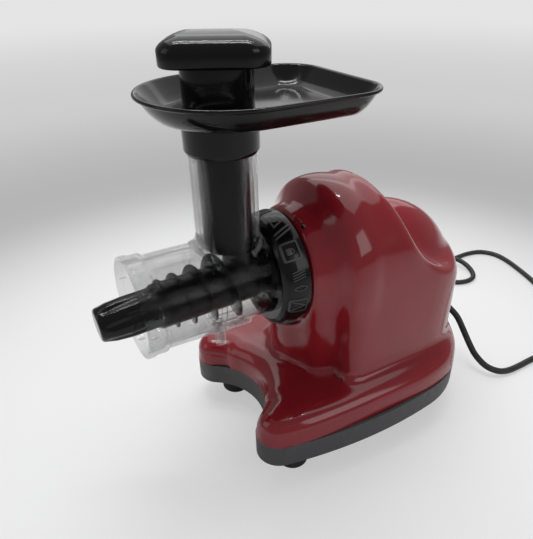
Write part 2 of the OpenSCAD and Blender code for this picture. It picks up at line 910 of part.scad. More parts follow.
module motor_bearings() {
    color("silver")
        place()
            at_z(motor_z) {
                tube(case_end_y + 2, bearing_len, motor_bearing_r, motor_shaft_r + fit_gap);
                tube(rear_frame_y - 1, bearing_len, motor_bearing_r, motor_shaft_r + fit_gap);
            }
}

module stator_core() {
    color("slategray")
        place()
            at_z(motor_z)
                difference() {
                    rod(stator_y, stator_len, stator_r);
                    rod(stator_y - 1, stator_len + 2, stator_in_r);
                    around(8, 22.5)
                        block(-2.5, stator_y - 1, 20, 2.5, stator_end_y + 1, 28);
                }
}

module stator_windings() {
    color("peru")
        place()
            at_z(motor_z) {
                tube(stator_y - 10, 10 - touch_gap, 32, 23);
                tube(stator_end_y + touch_gap, 10, 32, 23);
            }
}

module motor_cradle() {
    color("dimgray")
        place()
            difference() {
                block(-25, stator_y + 5, floor_z + touch_gap, 25, stator_end_y - 5, motor_z - 18);
                at_z(motor_z) rod(stator_y - 5, stator_len + 10, stator_r + fit_gap);
                for (spot = cradle_screws)
                    translate([spot[0], spot[1], base_low_z]) cylinder(h = 12, r = screw_r + 0.05);
            }
}

module rotor_core() {
    color("slategray")
        place()
            at_z(motor_z)
                difference() {
                    tube(stator_y + 1, stator_len - 2, rotor_r, motor_shaft_r + touch_gap);
                    around(12, 0)
                        block(-0.8, stator_y - 1, rotor_r - 3, 0.8, stator_end_y + 1, rotor_r + 1);
                }
}

module motor_shaft() {
    color("silver")
        place()
            at_z(motor_z) rod(fast_gear_y - 1, shaft_end_y - fast_gear_y + 1, motor_shaft_r);
}

module motor_pinion() {
    color("silver")
        place()
            at_z(motor_z)
                gear_disc(fast_gear_y, fast_gear_len, motor_pinion_teeth, fast_module, 0,
                    motor_shaft_r + touch_gap);
}

module cooling_fan() {
    color("ivory")
        place()
            at_z(motor_z)
                difference() {
                    union() {
                        rod(fan_y, 10, 8);
                        rod(fan_y, 1.6, 30);
                        around(9, 0)
                            block(-0.8, fan_y, 6, 0.8, fan_y + 9, 29);
                    }
                    rod(fan_y - 1, 12, motor_shaft_r + touch_gap);
                }
}

// Electrics
module circuit_board() {
    color("darkgreen")
        place()
            block(board_x, board_y, board_z, board_x + board_w, board_y + board_len, board_z + 1.6);
}

module capacitor() {
    color("goldenrod")
        place()
            translate([board_x + 12, board_y + 14, board_z + 1.6 + touch_gap])
                cylinder(h = 15, r = 7);
}

module switch_bezel() {
    color("black")
        place()
            at_z(switch_z)
                difference() {
                    block(-switch_half_w, switch_y - 22, -switch_half_h,
                        switch_half_w, switch_y, switch_half_h);
                    block(-switch_half_w + 2.5, switch_y - 19, -switch_half_h + 2.5,
                        switch_half_w - 2.5, switch_y + 1, switch_half_h - 2.5);
                }
}

// The rocker is a slice of a disc with a hollow face: it turns on a pin along x
module switch_rocker() {
    color("black")
        place()
            translate([0, rocker_y, switch_z])
                rotate([-rocker_tilt, 0, 0]) rotate([0, 90, 0])
                    difference() {
                        translate([0, 0, -switch_half_w + 2.8])
                            cylinder(h = 2 * switch_half_w - 5.6, r = rocker_r);
                        translate([0, rocker_r + 9, -20]) cylinder(h = 40, r = 12);
                    }
}

module cord_gland() {
    steps = 12;
    straight = 16;
    path = concat(
        [gland_point(0) - [0, straight, 0]],
        [for (i = [0:steps]) gland_point(gland_bend * i / steps)]
    );
    radii = concat(
        [gland_r],
        [for (i = [0:steps]) gland_r + (gland_end_r - gland_r) * i / steps]
    );
    color("black")
        place() swept_tube(path, radii, [0, 1, 0], exit_way, 16);
}

// Mains cord: a round tube along its route
function unit(v) = v / norm(v);

// A smooth curve through hand-placed points, with a few steps between neighbours
function curve_point(a, b, c, d, t) =
    0.5 * (2 * b + (c - a) * t + (2 * a - 5 * b + 4 * c - d) * t * t
        + (3 * b - a - 3 * c + d) * t * t * t);

function curve(path, steps) =
    let (last = len(path) - 1)
    [
        for (i = [0:last - 1])
            let (
                before = i == 0 ? 2 * path[0] - path[1] : path[i - 1],
                after = i == last - 1 ? 2 * path[last] - path[last - 1] : path[i + 2]
            )
                for (k = [0:steps - 1])
                    curve_point(before, path[i], path[i + 1], after, k / steps),
        path[last]
    ];

// A ring of points round one point of the path, square to the path's direction
function tube_ring(at, way, r, sides) =
    let (
        side = unit(cross(way, [0, 0, 1])),
        up = cross(side, way)
    )
    [
        for (i = [0:sides - 1])
            let (a = 360 * (i + 0.5) / sides)
                at + r * (cos(a) * side + sin(a) * up)
    ];

module swept_tube(path, radii, first_way, last_way, sides) {
    last = len(path) - 1;
    points = [
        for (i = [0:last])
            let (
                way = i == 0 ? first_way : i == last ? last_way : path[i + 1] - path[i - 1]
            )
                for (p = tube_ring(path[i], unit(way), radii[i], sides)) p
    ];
    faces = [
        for (i = [0:last - 1])
            for (j = [0:sides - 1])
                let (
                    a = i * sides + j,
                    b = i * sides + (j + 1) % sides,
                    c = a + sides,
                    d = b + sides
                )
                    for (face = [[a, b, d], [a, d, c]]) face,
        [for (j = [0:sides - 1]) sides - 1 - j],
        [for (j = [0:sides - 1]) last * sides + j]
    ];
    polyhedron(points = points, faces = faces);
}

module cord_tube(path, first_way, last_way) {
    points = curve(path, 3);
    swept_tube(points, [for (p = points) cord_r], first_way, last_way, 10);
}

module cord() {
    color("black")
        place() cord_tube(cord_path, exit_way, [0.26, -0.97, 0]);
}

// Three turns of cord lying side by side on the table
module cord_coil() {
    color("black")
        place()
            translate([coil_x, coil_y, cord_r])
                rotate_extrude()
                    for (i = [0:coil_turns - 1])
                        translate([coil_mid_r + (i - (coil_turns - 1) / 2) * cord_pitch, 0])
                            circle(r = cord_r);
}

module plug_lead() {
    color("black")
        place() cord_tube(lead_path, [-0.77, 0.64, 0.1], [0, -1, 0]);
}

module coil_tie() {
    color("dimgray")
        place()
            translate([coil_x, coil_y - coil_mid_r, 0])
                difference() {
                    block(-4, -coil_half_w - 1.6, 0, 4, coil_half_w + 1.6, cord_d + 1.2);
                    block(-5, -coil_half_w, -1, 5, coil_half_w, cord_d + touch_gap);
                }
}

module plug_body() {
    color("black")
        place()
            translate([plug_x, plug_y, 0])
                union() {
                    translate([0, 0, plug_h / 2]) rod(0, plug_len, plug_h / 2);
                    translate([0, 0, plug_h / 2]) rod(plug_len - 0.1, 14.1, cord_r + 1.6);
                    translate([0, 0, plug_h / 2]) rod(-4, 4.1, plug_h / 2 + 0.001);
                }
}

module plug_pins() {
    color("silver")
        place()
            translate([plug_x, plug_y - 4, plug_h / 2])
                for (x = [-9.5, 9.5])
                    translate([x, 0, 0]) {
                        rod(-17, 17 - touch_gap, 2);
                    }
}

// Drum with its chute, all clear
module drum() {
    color("white", 0.35)
        place()
            difference() {
                union() {
                    at_z(axis_z) {
                        rod(mouth_y, rim_len, rim_r);
                        rod(mouth_y, bell_len, bell_r);
                        translate([0, mouth_y + bell_len, 0])
                            rotate([-90, 0, 0]) cylinder(h = 2.5, r1 = bell_r, r2 = drum_r);
                        rod(mouth_y + bell_len + 2, drum_shoulder_y - mouth_y - bell_len - 2, drum_r);
                        rod(drum_shoulder_y - 1, spigot_end_y - drum_shoulder_y + 1, chamber_r);
                        rod(flange_y, flange_len, flange_r);
                        intersection() {
                            rod(drum_shoulder_y - 1, trough_len, trough_r);
                            block(-22, -30, -50, 22, 20, -20);
                        }
                    }
                    at_z(axis_z) cylinder(h = chute_top_z - axis_z, r = chute_r);
                }
                at_z(axis_z) {
                    rod(mouth_y - 1, bell_len - 1, bell_r - drum_wall);
                    translate([0, mouth_y + bell_len - 2.1, 0])
                        rotate([-90, 0, 0])
                            cylinder(h = 2.5, r1 = bell_r - drum_wall, r2 = barrel_in_r);
                    rod(mouth_y + 5, drum_shoulder_y - drum_wall - mouth_y - 5, barrel_in_r);
                    rod(mouth_y + 5, spigot_end_y - drum_wall - 0.4 - mouth_y - 5, chamber_in_r);
                    rod(0, 60, hub_r + 1);
                    intersection() {
                        rod(drum_shoulder_y + 1.5, trough_len - 5, trough_r - drum_wall);
                        block(-19.4, -30, -50, 19.4, 20, -20);
                    }
                    tube(gasket_y, 3, 34, chamber_r - 1.4);
                    translate([0, spout_y, -50]) cylinder(h = 20, r = spout_r + touch_gap);
                }
                at_z(axis_z) cylinder(h = 150, r = chute_in_r);
            }
}

module juice_spout() {
    color("white", 0.35)
        place()
            translate([0, spout_y, axis_z - trough_r - spout_len])
                difference() {
                    cylinder(h = spout_len + drum_wall - 0.1, r = spout_r);
                    at_z(-1) cylinder(h = 60, r = spout_r - 1.4);
                }
}

module drum_gasket() {
    color("gray")
        place()
            at_z(axis_z)
                tube(gasket_y + touch_gap, 3 - 2 * touch_gap, socket_bore_r - 0.1, chamber_r - 1.35);
}

// Locking ring with its grip pads and three lugs
module locking_ring() {
    color("black")
        place()
            at_z(axis_z) {
                turned([
                    [chamber_r + run_gap, ring_front_y], [ring_r - 6.8, ring_front_y],
                    [ring_r - 4, ring_front_y + 1.9], [ring_r - 2.4, ring_front_y + 4],
                    [ring_r - 1.2, ring_front_y + 7], [ring_r - 0.4, ring_front_y + 11],
                    [ring_r, ring_front_y + 15.5], [ring_r, ring_front_y + ring_len],
                    [ring_r - ring_wall, ring_front_y + ring_len],
                    [ring_r - ring_wall, ring_front_y + 6.9], [ring_r - 5, ring_front_y + 4.7],
                    [ring_r - 5.6, ring_front_y + lip_len],
                    [chamber_r + run_gap, ring_front_y + lip_len]
                ]);
                around(pad_count, 15)
                    block(-pad_half_w, ring_front_y + 7, ring_r - 2,
                        pad_half_w, ring_front_y + ring_len - 2.5, ring_r + pad_h);
                around(lug_count, lock_angle)
                    lug(groove_y, lug_len - 0.2, ring_r - 1, ring_r - ring_wall - lug_depth, lug_angle);
            }
}

// The auger hangs a little at its nose, turned about a point inside the drive shaft
module auger_line() {
    place()
        translate([0, auger_pivot_y, axis_z])
            rotate([auger_droop, 0, 0])
                translate([0, -auger_pivot_y, 0]) children();
}

function flight_at(y) = min(flight_r, max(19 + 0.12 * (y + 56), 21.7 + 0.2 * (y + 33)));

module auger() {
    steps = 24;
    last = 117;
    half = 1.6;
    ribbon = [
        for (i = [0:last])
            let (
                t = i / steps,
                y = nose_y + 3 + 9.5 * t + 1.35 * t * t,
                a = 360 * t + 200,
                grow = min(1, i / 8, (last - i) / 8),
                r = core_r + grow * (flight_at(y) - core_r) + 0.2,
                out = [sin(a), 0, cos(a)]
            )
                for (p = [
                    (core_r - 2) * out + [0, y - half - 0.5, 0], r * out + [0, y - half * 0.55, 0],
                    r * out + [0, y + half * 0.55, 0], (core_r - 2) * out + [0, y + half + 0.5, 0]
                ]) p
    ];
    ribbon_faces = [
        for (i = [0:last - 1])
            for (j = [0:3])
                let (a = 4 * i + j, b = 4 * i + (j + 1) % 4)
                    for (face = [[a, b, b + 4], [a, b + 4, a + 4]]) face,
        [3, 2, 1, 0],
        [4 * last, 4 * last + 1, 4 * last + 2, 4 * last + 3]
    ];
    color("black")
        auger_line()
            difference() {
                union() {
                    turned([
                        [0, nose_y - nose_len], [nose_tip_r - 2, nose_y - nose_len],
                        [nose_tip_r, nose_y - nose_len + 2], [nose_tip_r + 3, nose_y - nose_len + 22],
                        [nose_tip_r + 3, nose_y - 1],
                        [core_r, nose_y + 1], [core_r, collar_y - 4], [hub_r + 6, collar_y],
                        [collar_r_auger, collar_y], [collar_r_auger, collar_y + collar_len],
                        [0, collar_y + collar_len]
                    ]);
                    polyhedron(points = ribbon, faces = ribbon_faces);
                }
                rod(stub_y, 60, stub_r + touch_gap);
            }
}

module auger_hub() {
    color("silver")
        auger_line() {
            rod(stub_y + 0.1, collar_y + collar_len - stub_y, stub_r);
            rod(collar_y + collar_len + touch_gap, hub_end_y - collar_y - collar_len, hub_r);
            plate(hub_end_y - 1, hex_end_y - hub_end_y + 1)
                rotate(30) circle(r = hex_af / sqrt(3), $fn = 6);
        }
}

module auger_seal() {
    color("gray")
        auger_line()
            tube(collar_y + collar_len + 2 * touch_gap, 1.7, hub_r + 5, hub_r + touch_gap);
}

// Feed tray: round in front, square behind, with sloping walls
module tray_form(grow, low, high) {
    slope = tray_half_w - tray_floor_half_w;
    rear_r = tray_corner_r;
    hull() {
        for (x = [-1, 1])
            translate([x * (tray_half_w - rear_r), tray_rear_y - rear_r, low])
                cylinder(h = high - low, r1 = rear_r - slope + grow, r2 = rear_r + grow, $fn = 48);
        translate([0, tray_front_y, low])
            cylinder(h = high - low, r1 = tray_half_w - slope + grow, r2 = tray_half_w + grow, $fn = 96);
    }
}

module feed_tray() {
    color("black")
        place()
            difference() {
                tray_form(0, tray_low_z, tray_z);
                tray_form(-tray_wall, tray_low_z + tray_wall, tray_z + 0.01);
                at_z(tray_low_z - 5) cylinder(h = 20, r = chute_in_r);
            }
}

module tray_collar() {
    color("black")
        place()
            difference() {
                union() {
                    at_z(collar_low_z)
                        rotate_extrude()
                            polygon([
                                [0, 0], [collar_r - 2, 0], [collar_r - 0.4, 2.5],
                                [collar_r, tray_low_z - touch_gap - collar_low_z],
                                [0, tray_low_z - touch_gap - collar_low_z]
                            ]);
                }
                at_z(collar_low_z - 1)
                    cylinder(h = chute_top_z + touch_gap - collar_low_z + 1, r = collar_in_r);
                at_z(collar_low_z - 1) cylinder(h = 60, r = chute_in_r);
            }
}

// Pusher
module pusher_shaft() {
    color("black")
        place()
            difference() {
                at_z(pusher_low_z) cylinder(h = cap_low_z - touch_gap - pusher_low_z, r = pusher_r);
                at_z(pusher_low_z + 2.5) cylinder(h = 200, r = pusher_r - 2.2);
            }
}

module pusher_sleeve() {
    color("black")
        place()
            at_z(tray_low_z + tray_wall + touch_gap)
                difference() {
                    cylinder(
                        h = cap_low_z - tray_low_z - tray_wall - 2 * touch_gap, r = sleeve_r
                    );
                    at_z(-1) cylinder(h = 60, r = pusher_r + fit_gap);
                }
}

module pusher_cap() {
    color("black")
        place()
            at_z(cap_low_z)
                rotate(cap_turn)
                    hull()
                        for (x = [-1, 1])
                            for (y = [-1, 1])
                                for (level = cap_levels)
                                    translate([
                                        x * (cap_half_w - corner_r),
                                        y * (cap_half_len - corner_r) * level[2], 0
                                    ])
                                        cylinder(h = level[0], r = corner_r - level[1], $fn = 40);
}

housing_shell();
base_tray();
foot_front_left();
foot_front_right();
foot_rear_left();
foot_rear_right();
base_screws();
drum_socket();
shaft_seal();
gearbox_case();
gearbox_cover();
gearbox_bracket();
gearbox_screws();
output_bearings();
output_gear();
drive_shaft();
idler_bearings();
idler_shaft();
idler_gear();
idler_pinion();
motor_front_frame();
motor_rear_frame();
motor_bearings();
stator_core();
stator_windings();
motor_cradle();
rotor_core();
motor_shaft();
motor_pinion();
cooling_fan();
circuit_board();
capacitor();
switch_bezel();
switch_rocker();
cord_gland();
cord();
cord_coil();
coil_tie();
plug_lead();
plug_body();
plug_pins();
drum();
juice_spout();
drum_gasket();
locking_ring();
auger();
auger_hub();
auger_seal();
feed_tray();
tray_collar();
pusher_shaft();
pusher_sleeve();
pusher_cap();
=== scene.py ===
"""Cold press juicer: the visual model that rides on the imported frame.

Sizes are in millimetres and lengths along y are counted from the feed chute's axis, as in the part's
source. A finished mesh is scaled to metres and moved into the row frame as it becomes a piece.
"""

import json
import logging
import math
from dataclasses import dataclass, field
from enum import Enum
from typing import Callable, Iterable, Sequence

import bmesh
import bpy
import numpy as np
from mathutils import Matrix, Vector


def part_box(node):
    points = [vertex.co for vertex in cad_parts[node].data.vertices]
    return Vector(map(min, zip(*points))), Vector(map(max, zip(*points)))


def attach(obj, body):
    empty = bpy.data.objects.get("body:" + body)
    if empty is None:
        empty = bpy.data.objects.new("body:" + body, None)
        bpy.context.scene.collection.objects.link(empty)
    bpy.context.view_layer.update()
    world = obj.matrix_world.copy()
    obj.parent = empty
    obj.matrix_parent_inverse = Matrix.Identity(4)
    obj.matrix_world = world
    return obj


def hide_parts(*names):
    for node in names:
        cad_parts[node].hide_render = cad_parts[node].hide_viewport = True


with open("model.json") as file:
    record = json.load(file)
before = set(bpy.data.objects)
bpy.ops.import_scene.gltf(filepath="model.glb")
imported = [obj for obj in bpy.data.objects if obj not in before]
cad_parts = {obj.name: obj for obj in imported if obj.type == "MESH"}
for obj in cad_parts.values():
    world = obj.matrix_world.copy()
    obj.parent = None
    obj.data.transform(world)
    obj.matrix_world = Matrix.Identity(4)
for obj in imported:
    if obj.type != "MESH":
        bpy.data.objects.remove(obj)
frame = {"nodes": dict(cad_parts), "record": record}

LOG = logging.getLogger("juicer")
Point = tuple[float, float, float]
Pair = tuple[float, float]
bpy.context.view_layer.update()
MM = 0.001
FULL_TURN = 2 * math.pi

# Driving sizes, which are the ones of the part's source
RING_FRONT_Y = 23.5
AXIS_Z = 159.3
MID_Y = RING_FRONT_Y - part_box("locking_ring")[0].y / MM
CORD_D = 6.4
CORD_R = CORD_D / 2
NECK_Y = 46.0
SEAM_Z = 44.0


def along_y(x: float, y: float, z: float) -> Matrix:
    """The seat that turns a form made about z on to y, starting from a point."""
    return Matrix.Translation((x, y, z)) @ Matrix.Rotation(-math.pi / 2, 4, "X")


ON_DRUM_AXIS = along_y(0, 0, AXIS_Z)


def to_row(point: Sequence[float]) -> Vector:
    """Turn a point in the source's millimetres into metres in the row frame."""
    return Vector((point[0], point[1] - MID_Y, point[2])) * MM


def linked(name: str, data: bpy.types.ID) -> bpy.types.Object:
    """Put an object that shows some data into the scene."""
    made = bpy.data.objects.new(name, data)
    bpy.context.scene.collection.objects.link(made)
    return made


# ---------------------------------------------------------------- shader maths


class Tree:
    """The node tree of one material or world, with one method that makes every node."""

    def __init__(self, name: str, holder: bpy.types.ID | None = None) -> None:
        """Start an empty tree in a new material of that name, or in a world."""
        self.owner = holder or bpy.data.materials.new(name)
        self.owner.use_nodes = True
        self.nodes = self.owner.node_tree.nodes
        self.links = self.owner.node_tree.links
        self.nodes.clear()

    def add(self, kind: str, settings: dict | None = None, **inputs: object) -> bpy.types.Node:
        """Make a node.

        Args:
            kind: The node's type, such as "ShaderNodeMath".
            settings: Attributes that are set before the sockets, such as its operation.
            inputs: A value or a link for each socket; in_0 is the first socket, and a name has
                underscores for spaces.

        Returns:
            The node.
        """
        node = self.nodes.new(kind)
        for key, value in (settings or {}).items():
            setattr(node, key, value)
        for key, value in inputs.items():
            place = int(key[3:]) if key.startswith("in_") else key.replace("_", " ")
            self.join(node.inputs[place], value)
        return node

    def join(self, socket: bpy.types.NodeSocket, value: object) -> None:
        """Link a value's socket to a socket, or set the socket to a plain value."""
        if isinstance(value, Value):
            self.links.new(value.socket, socket)
        elif isinstance(value, bpy.types.NodeSocket):
            self.links.new(value, socket)
        else:
            socket.default_value = value

    def place(self) -> bpy.types.NodeSocket:
        """Object coordinates, in metres."""
        return self.add("ShaderNodeTexCoord").outputs["Object"]

    def stretched(self, scale: Point) -> bpy.types.NodeSocket:
        """Object coordinates scaled along each axis, for grain that runs one way."""
        return self.add("ShaderNodeMapping", Vector=self.place(), Scale=scale).outputs[0]

    def noise(self, scale: float, detail: float = 2.0, at: object = None) -> "Value":
        """Cloudy noise from 0 to 1, about scale spots to a metre."""
        node = self.add(
            "ShaderNodeTexNoise", Vector=at or self.place(), Scale=scale, Detail=detail, Roughness=0.55
        )
        return Value(self, node.outputs[0])

    def mix(self, factor: "Value", first: Sequence[float], second: Sequence[float]) -> bpy.types.NodeSocket:
        """Blend two colours by a value."""
        node = self.add("ShaderNodeMix", {"data_type": "RGBA"}, in_0=factor)
        node.inputs[6].default_value = (*first, 1)
        node.inputs[7].default_value = (*second, 1)
        return node.outputs[2]

    def bump(self, height: "Value", distance: float, strength: float = 1.0) -> bpy.types.NodeSocket:
        """A normal from a height; distance is the depth in metres."""
        node = self.add("ShaderNodeBump", Height=height, Distance=distance, Strength=strength)
        return node.outputs[0]

    def surface(self, shader: bpy.types.Node) -> bpy.types.Material:
        """Close the tree with its surface and return the material."""
        self.add("ShaderNodeOutputMaterial", Surface=shader.outputs[0])
        return self.owner


class Value:
    """A number in a node tree that takes part in Python sums."""

    def __init__(self, tree: Tree, socket: bpy.types.NodeSocket) -> None:
        """Wrap a socket of a tree."""
        self.tree = tree
        self.socket = socket

    def _sum(self, operation: str, first: object, second: object) -> "Value":
        """A Math node on two terms."""
        node = self.tree.add("ShaderNodeMath", {"operation": operation}, in_0=first, in_1=second)
        return Value(self.tree, node.outputs[0])

    def __add__(self, other: object) -> "Value":
        """self + other."""
        return self._sum("ADD", self, other)

    def __radd__(self, other: object) -> "Value":
        """other + self."""
        return self._sum("ADD", other, self)

    def __sub__(self, other: object) -> "Value":
        """self - other."""
        return self._sum("SUBTRACT", self, other)

    def __rsub__(self, other: object) -> "Value":
        """other - self."""
        return self._sum("SUBTRACT", other, self)

    def __mul__(self, other: object) -> "Value":
        """self * other."""
        return self._sum("MULTIPLY", self, other)

    def __rmul__(self, other: object) -> "Value":
        """other * self."""
        return self._sum("MULTIPLY", other, self)

    def __pow__(self, other: object) -> "Value":
        """self to the power of other."""
        return self._sum("POWER", self, other)

    def above(self, edge: float, soft: float) -> "Value":
        """0 below an edge and 1 above it, with a soft step."""
        node = self.tree.add(
            "ShaderNodeMapRange", {"interpolation_type": "SMOOTHSTEP"},
            in_0=self, in_1=edge - soft, in_2=edge + soft, in_3=0.0, in_4=1.0,
        )
        return Value(self.tree, node.outputs[0])


# ---------------------------------------------------------------- finishes


@dataclass(frozen=True)
class Plastic:
    """Moulded plastic: colour, gloss, and a fine mould grain.

    Attributes:
        name: The material's name.
        colour: Linear colour.
        roughness: Middle roughness.
        coat: Weight of the clear coat that gives a deep gloss.
        grain: Spots of mould grain to a metre.
        depth: Depth of the grain in metres.
        waviness: Depth in metres of the slow waves that a big moulding has.
        ior: Index of refraction, which sets how strongly the surface mirrors.
    """

    name: str
    colour: Point
    roughness: float = 0.3
    coat: float = 0.0
    grain: float = 2500.0
    depth: float = 0.00002
    waviness: float = 0.0
    ior: float = 1.5

    def material(self) -> bpy.types.Material:
        """Build the node tree."""
        tree = Tree(self.name)
        cloud = tree.noise(38, 3)
        grain = tree.noise(self.grain, 2)
        handled = tree.noise(190, 4).above(0.62, 0.1)
        darker = tuple(0.86 * c for c in self.colour)
        lighter = tuple(min(1.0, 1.1 * c + 0.001) for c in self.colour)
        height = grain * (self.depth / 0.001)
        if self.waviness:
            height = height + tree.noise(11, 1) * (self.waviness / 0.001)
        shader = tree.add(
            "ShaderNodeBsdfPrincipled",
            Base_Color=tree.mix(cloud, darker, lighter),
            Roughness=(cloud - 0.5) * (0.25 * self.roughness) + handled * 0.03 + self.roughness,
            Normal=tree.bump(height, 0.001),
            IOR=self.ior,
            Coat_Roughness=0.03,
            Coat_Weight=cloud * 0.1 + (self.coat - 0.05) if self.coat else 0.0,
        )
        return tree.surface(shader)


@dataclass(frozen=True)
class Rubber:
    """Soft rubber: nearly no gloss, a little bloom and a fine pitted surface."""

    name: str
    colour: Point
    roughness: float = 0.75

    def material(self) -> bpy.types.Material:
        """Build the node tree."""
        tree = Tree(self.name)
        bloom = tree.noise(120, 5)
        pits = tree.noise(3200, 3)
        dusty = tuple(1.6 * c + 0.012 for c in self.colour)
        shader = tree.add(
            "ShaderNodeBsdfPrincipled",
            Base_Color=tree.mix(bloom.above(0.6, 0.2), self.colour, dusty),
            Roughness=bloom * 0.15 + (self.roughness - 0.07),
            Normal=tree.bump(pits, 0.00006),
        )
        return tree.surface(shader)


@dataclass(frozen=True)
class Metal:
    """Bare metal with fine turning or rolling lines along one axis."""

    name: str
    colour: Point
    roughness: float = 0.3
    lines: Point = (60.0, 2600.0, 60.0)
    depth: float = 0.000012

    def material(self) -> bpy.types.Material:
        """Build the node tree."""
        tree = Tree(self.name)
        lines = tree.noise(1.0, 2, tree.stretched(self.lines))
        stain = tree.noise(70, 4)
        dull = tuple(0.72 * c for c in self.colour)
        shader = tree.add(
            "ShaderNodeBsdfPrincipled",
            Base_Color=tree.mix(stain, dull, self.colour),
            Metallic=1.0,
            Roughness=lines * 0.16 + stain * 0.1 + (self.roughness - 0.12),
            Normal=tree.bump(lines, self.depth),
        )
        return tree.surface(shader)


@dataclass(frozen=True)
class Clear:
    """Clear moulded plastic with a faint grey tint and light handling marks.

    Attributes:
        name: The material's name.
        colour: Linear tint of the part that bends light.
        roughness: Least roughness.
        clearness: How much light goes straight through the rest.
        face: The share that bends light where the wall is seen square on.
        rim: What is added to that share where the wall is seen edge on.
        falloff: How sharply the share rises towards the edge.
    """

    name: str
    colour: Point
    roughness: float = 0.012
    clearness: float = 0.9
    face: float = 0.09
    rim: float = 0.82
    falloff: float = 1.9

    def material(self) -> bpy.types.Material:
        """Build the node tree."""
        tree = Tree(self.name)
        haze = tree.noise(60, 4)
        shader = tree.add(
            "ShaderNodeBsdfPrincipled",
            Base_Color=tree.mix(haze, tuple(0.96 * c for c in self.colour), self.colour),
            Roughness=haze.above(0.66, 0.12) * 0.03 + self.roughness,
            IOR=1.45,
        )
        shader.inputs["Transmission Weight"].default_value = 1.0
        glass = shader.outputs[0]
        tint = (self.clearness, self.clearness, self.clearness, 1)
        open_way = tree.add("ShaderNodeBsdfTransparent", Color=tint).outputs[0]
        edge = tree.add("ShaderNodeLayerWeight", Blend=0.3).outputs["Facing"]
        solid = Value(tree, edge) ** self.falloff * self.rim + self.face
        mixed = tree.add("ShaderNodeMixShader", in_0=solid, in_1=open_way, in_2=glass)
        return tree.surface(mixed)


@dataclass(frozen=True)
class Winding:
    """Varnished copper wire, wound round the y axis."""

    name: str
    colour: Point

    def material(self) -> bpy.types.Material:
        """Build the node tree."""
        tree = Tree(self.name)
        strands = tree.add(
            "ShaderNodeTexWave", {"wave_type": "BANDS", "bands_direction": "Y"},
            Vector=tree.place(), Scale=420.0, Distortion=2.5, Detail=1.0,
        )
        wire = Value(tree, strands.outputs[1])
        shader = tree.add(
            "ShaderNodeBsdfPrincipled",
            Base_Color=tree.mix(wire, tuple(0.4 * c for c in self.colour), self.colour),
            Metallic=wire * 0.3 + 0.6,
            Roughness=wire * -0.2 + 0.45,
            Normal=tree.bump(wire, 0.0003),
        )
        return tree.surface(shader)


@dataclass(frozen=True)
class Board:
    """Circuit board: green lacquer over lighter copper tracks."""

    name: str
    colour: Point

    def material(self) -> bpy.types.Material:
        """Build the node tree."""
        tree = Tree(self.name)
        tracks = tree.add(
            "ShaderNodeTexVoronoi", {"feature": "DISTANCE_TO_EDGE"}, Vector=tree.place(), Scale=260.0
        )
        line = Value(tree, tracks.outputs[0]).above(0.07, 0.03)
        shader = tree.add(
            "ShaderNodeBsdfPrincipled",
            Base_Color=tree.mix(line, tuple(2.2 * c for c in self.colour), self.colour),
            Roughness=line * 0.15 + 0.25,
            Normal=tree.bump(line, -0.00005),
        )
        return tree.surface(shader)


class Finish(Enum):
    """Every finish on the juicer; each name is that of a material slot of the record."""

    RED_GLOSS = Plastic("red_gloss_moulding", (0.26, 0.0125, 0.019), 0.12, 0.1, 2200, 0.000003, 0.00004)
    DARK_SATIN = Plastic("dark_satin_moulding", (0.062, 0.063, 0.066), 0.48, 0.0, 1800, 0.00003)
    BLACK_GLOSS = Plastic(
        "black_gloss_moulding", (0.004, 0.004, 0.0043), 0.13, grain=2600, depth=0.000003, ior=1.36
    )
    BLACK_SATIN = Plastic("black_satin_moulding", (0.012, 0.012, 0.013), 0.4, 0.0, 2200, 0.00003)
    FOOT_RUBBER = Rubber("foot_rubber", (0.01, 0.01, 0.01))
    SEAL_RUBBER = Rubber("seal_rubber", (0.11, 0.11, 0.115), 0.6)
    CORD_RUBBER = Rubber("cord_jacket", (0.012, 0.012, 0.0125), 0.5)
    CLEAR = Clear("clear_moulding", (0.33, 0.34, 0.345))
    STEEL = Metal("turned_steel", (0.56, 0.565, 0.58), 0.28)
    LAMINATIONS = Metal("stacked_sheets", (0.3, 0.31, 0.33), 0.45, (20.0, 9000.0, 20.0), 0.00006)
    ALLOY = Metal("cast_alloy", (0.62, 0.63, 0.645), 0.42, (900.0, 900.0, 900.0), 0.00004)
    GEAR_PLASTIC = Plastic("pale_gear_plastic", (0.68, 0.63, 0.52), 0.4, 0.0, 1500, 0.00002)
    CASE_PLASTIC = Plastic("grey_case_plastic", (0.13, 0.135, 0.15), 0.5, 0.0, 1500, 0.00004)
    COPPER = Winding("wound_copper", (0.62, 0.26, 0.1))
    BOARD = Board("green_board", (0.012, 0.11, 0.035))
    FILM = Plastic("capacitor_case", (0.55, 0.3, 0.04), 0.25, 0.3)
    PIN_METAL = Metal("plated_pins", (0.72, 0.66, 0.46), 0.25, (1400.0, 60.0, 1400.0))

    @property
    def slot(self) -> str:
        """The record's name for this finish."""
        return self.name.lower()

    @property
    def material(self) -> bpy.types.Material:
        """The finish's material, made the first time it is asked for."""
        return bpy.data.materials.get(self.value.name) or self.value.material()


# ---------------------------------------------------------------- shaping


def arc(centre: Pair, r: float, start: float, end: float, steps: int) -> list[Pair]:
    """Points on an arc, with its angles in degrees."""
    angles = [math.radians(start + (end - start) * i / steps) for i in range(steps + 1)]
    return [(centre[0] + r * math.cos(a), centre[1] + r * math.sin(a)) for a in angles]


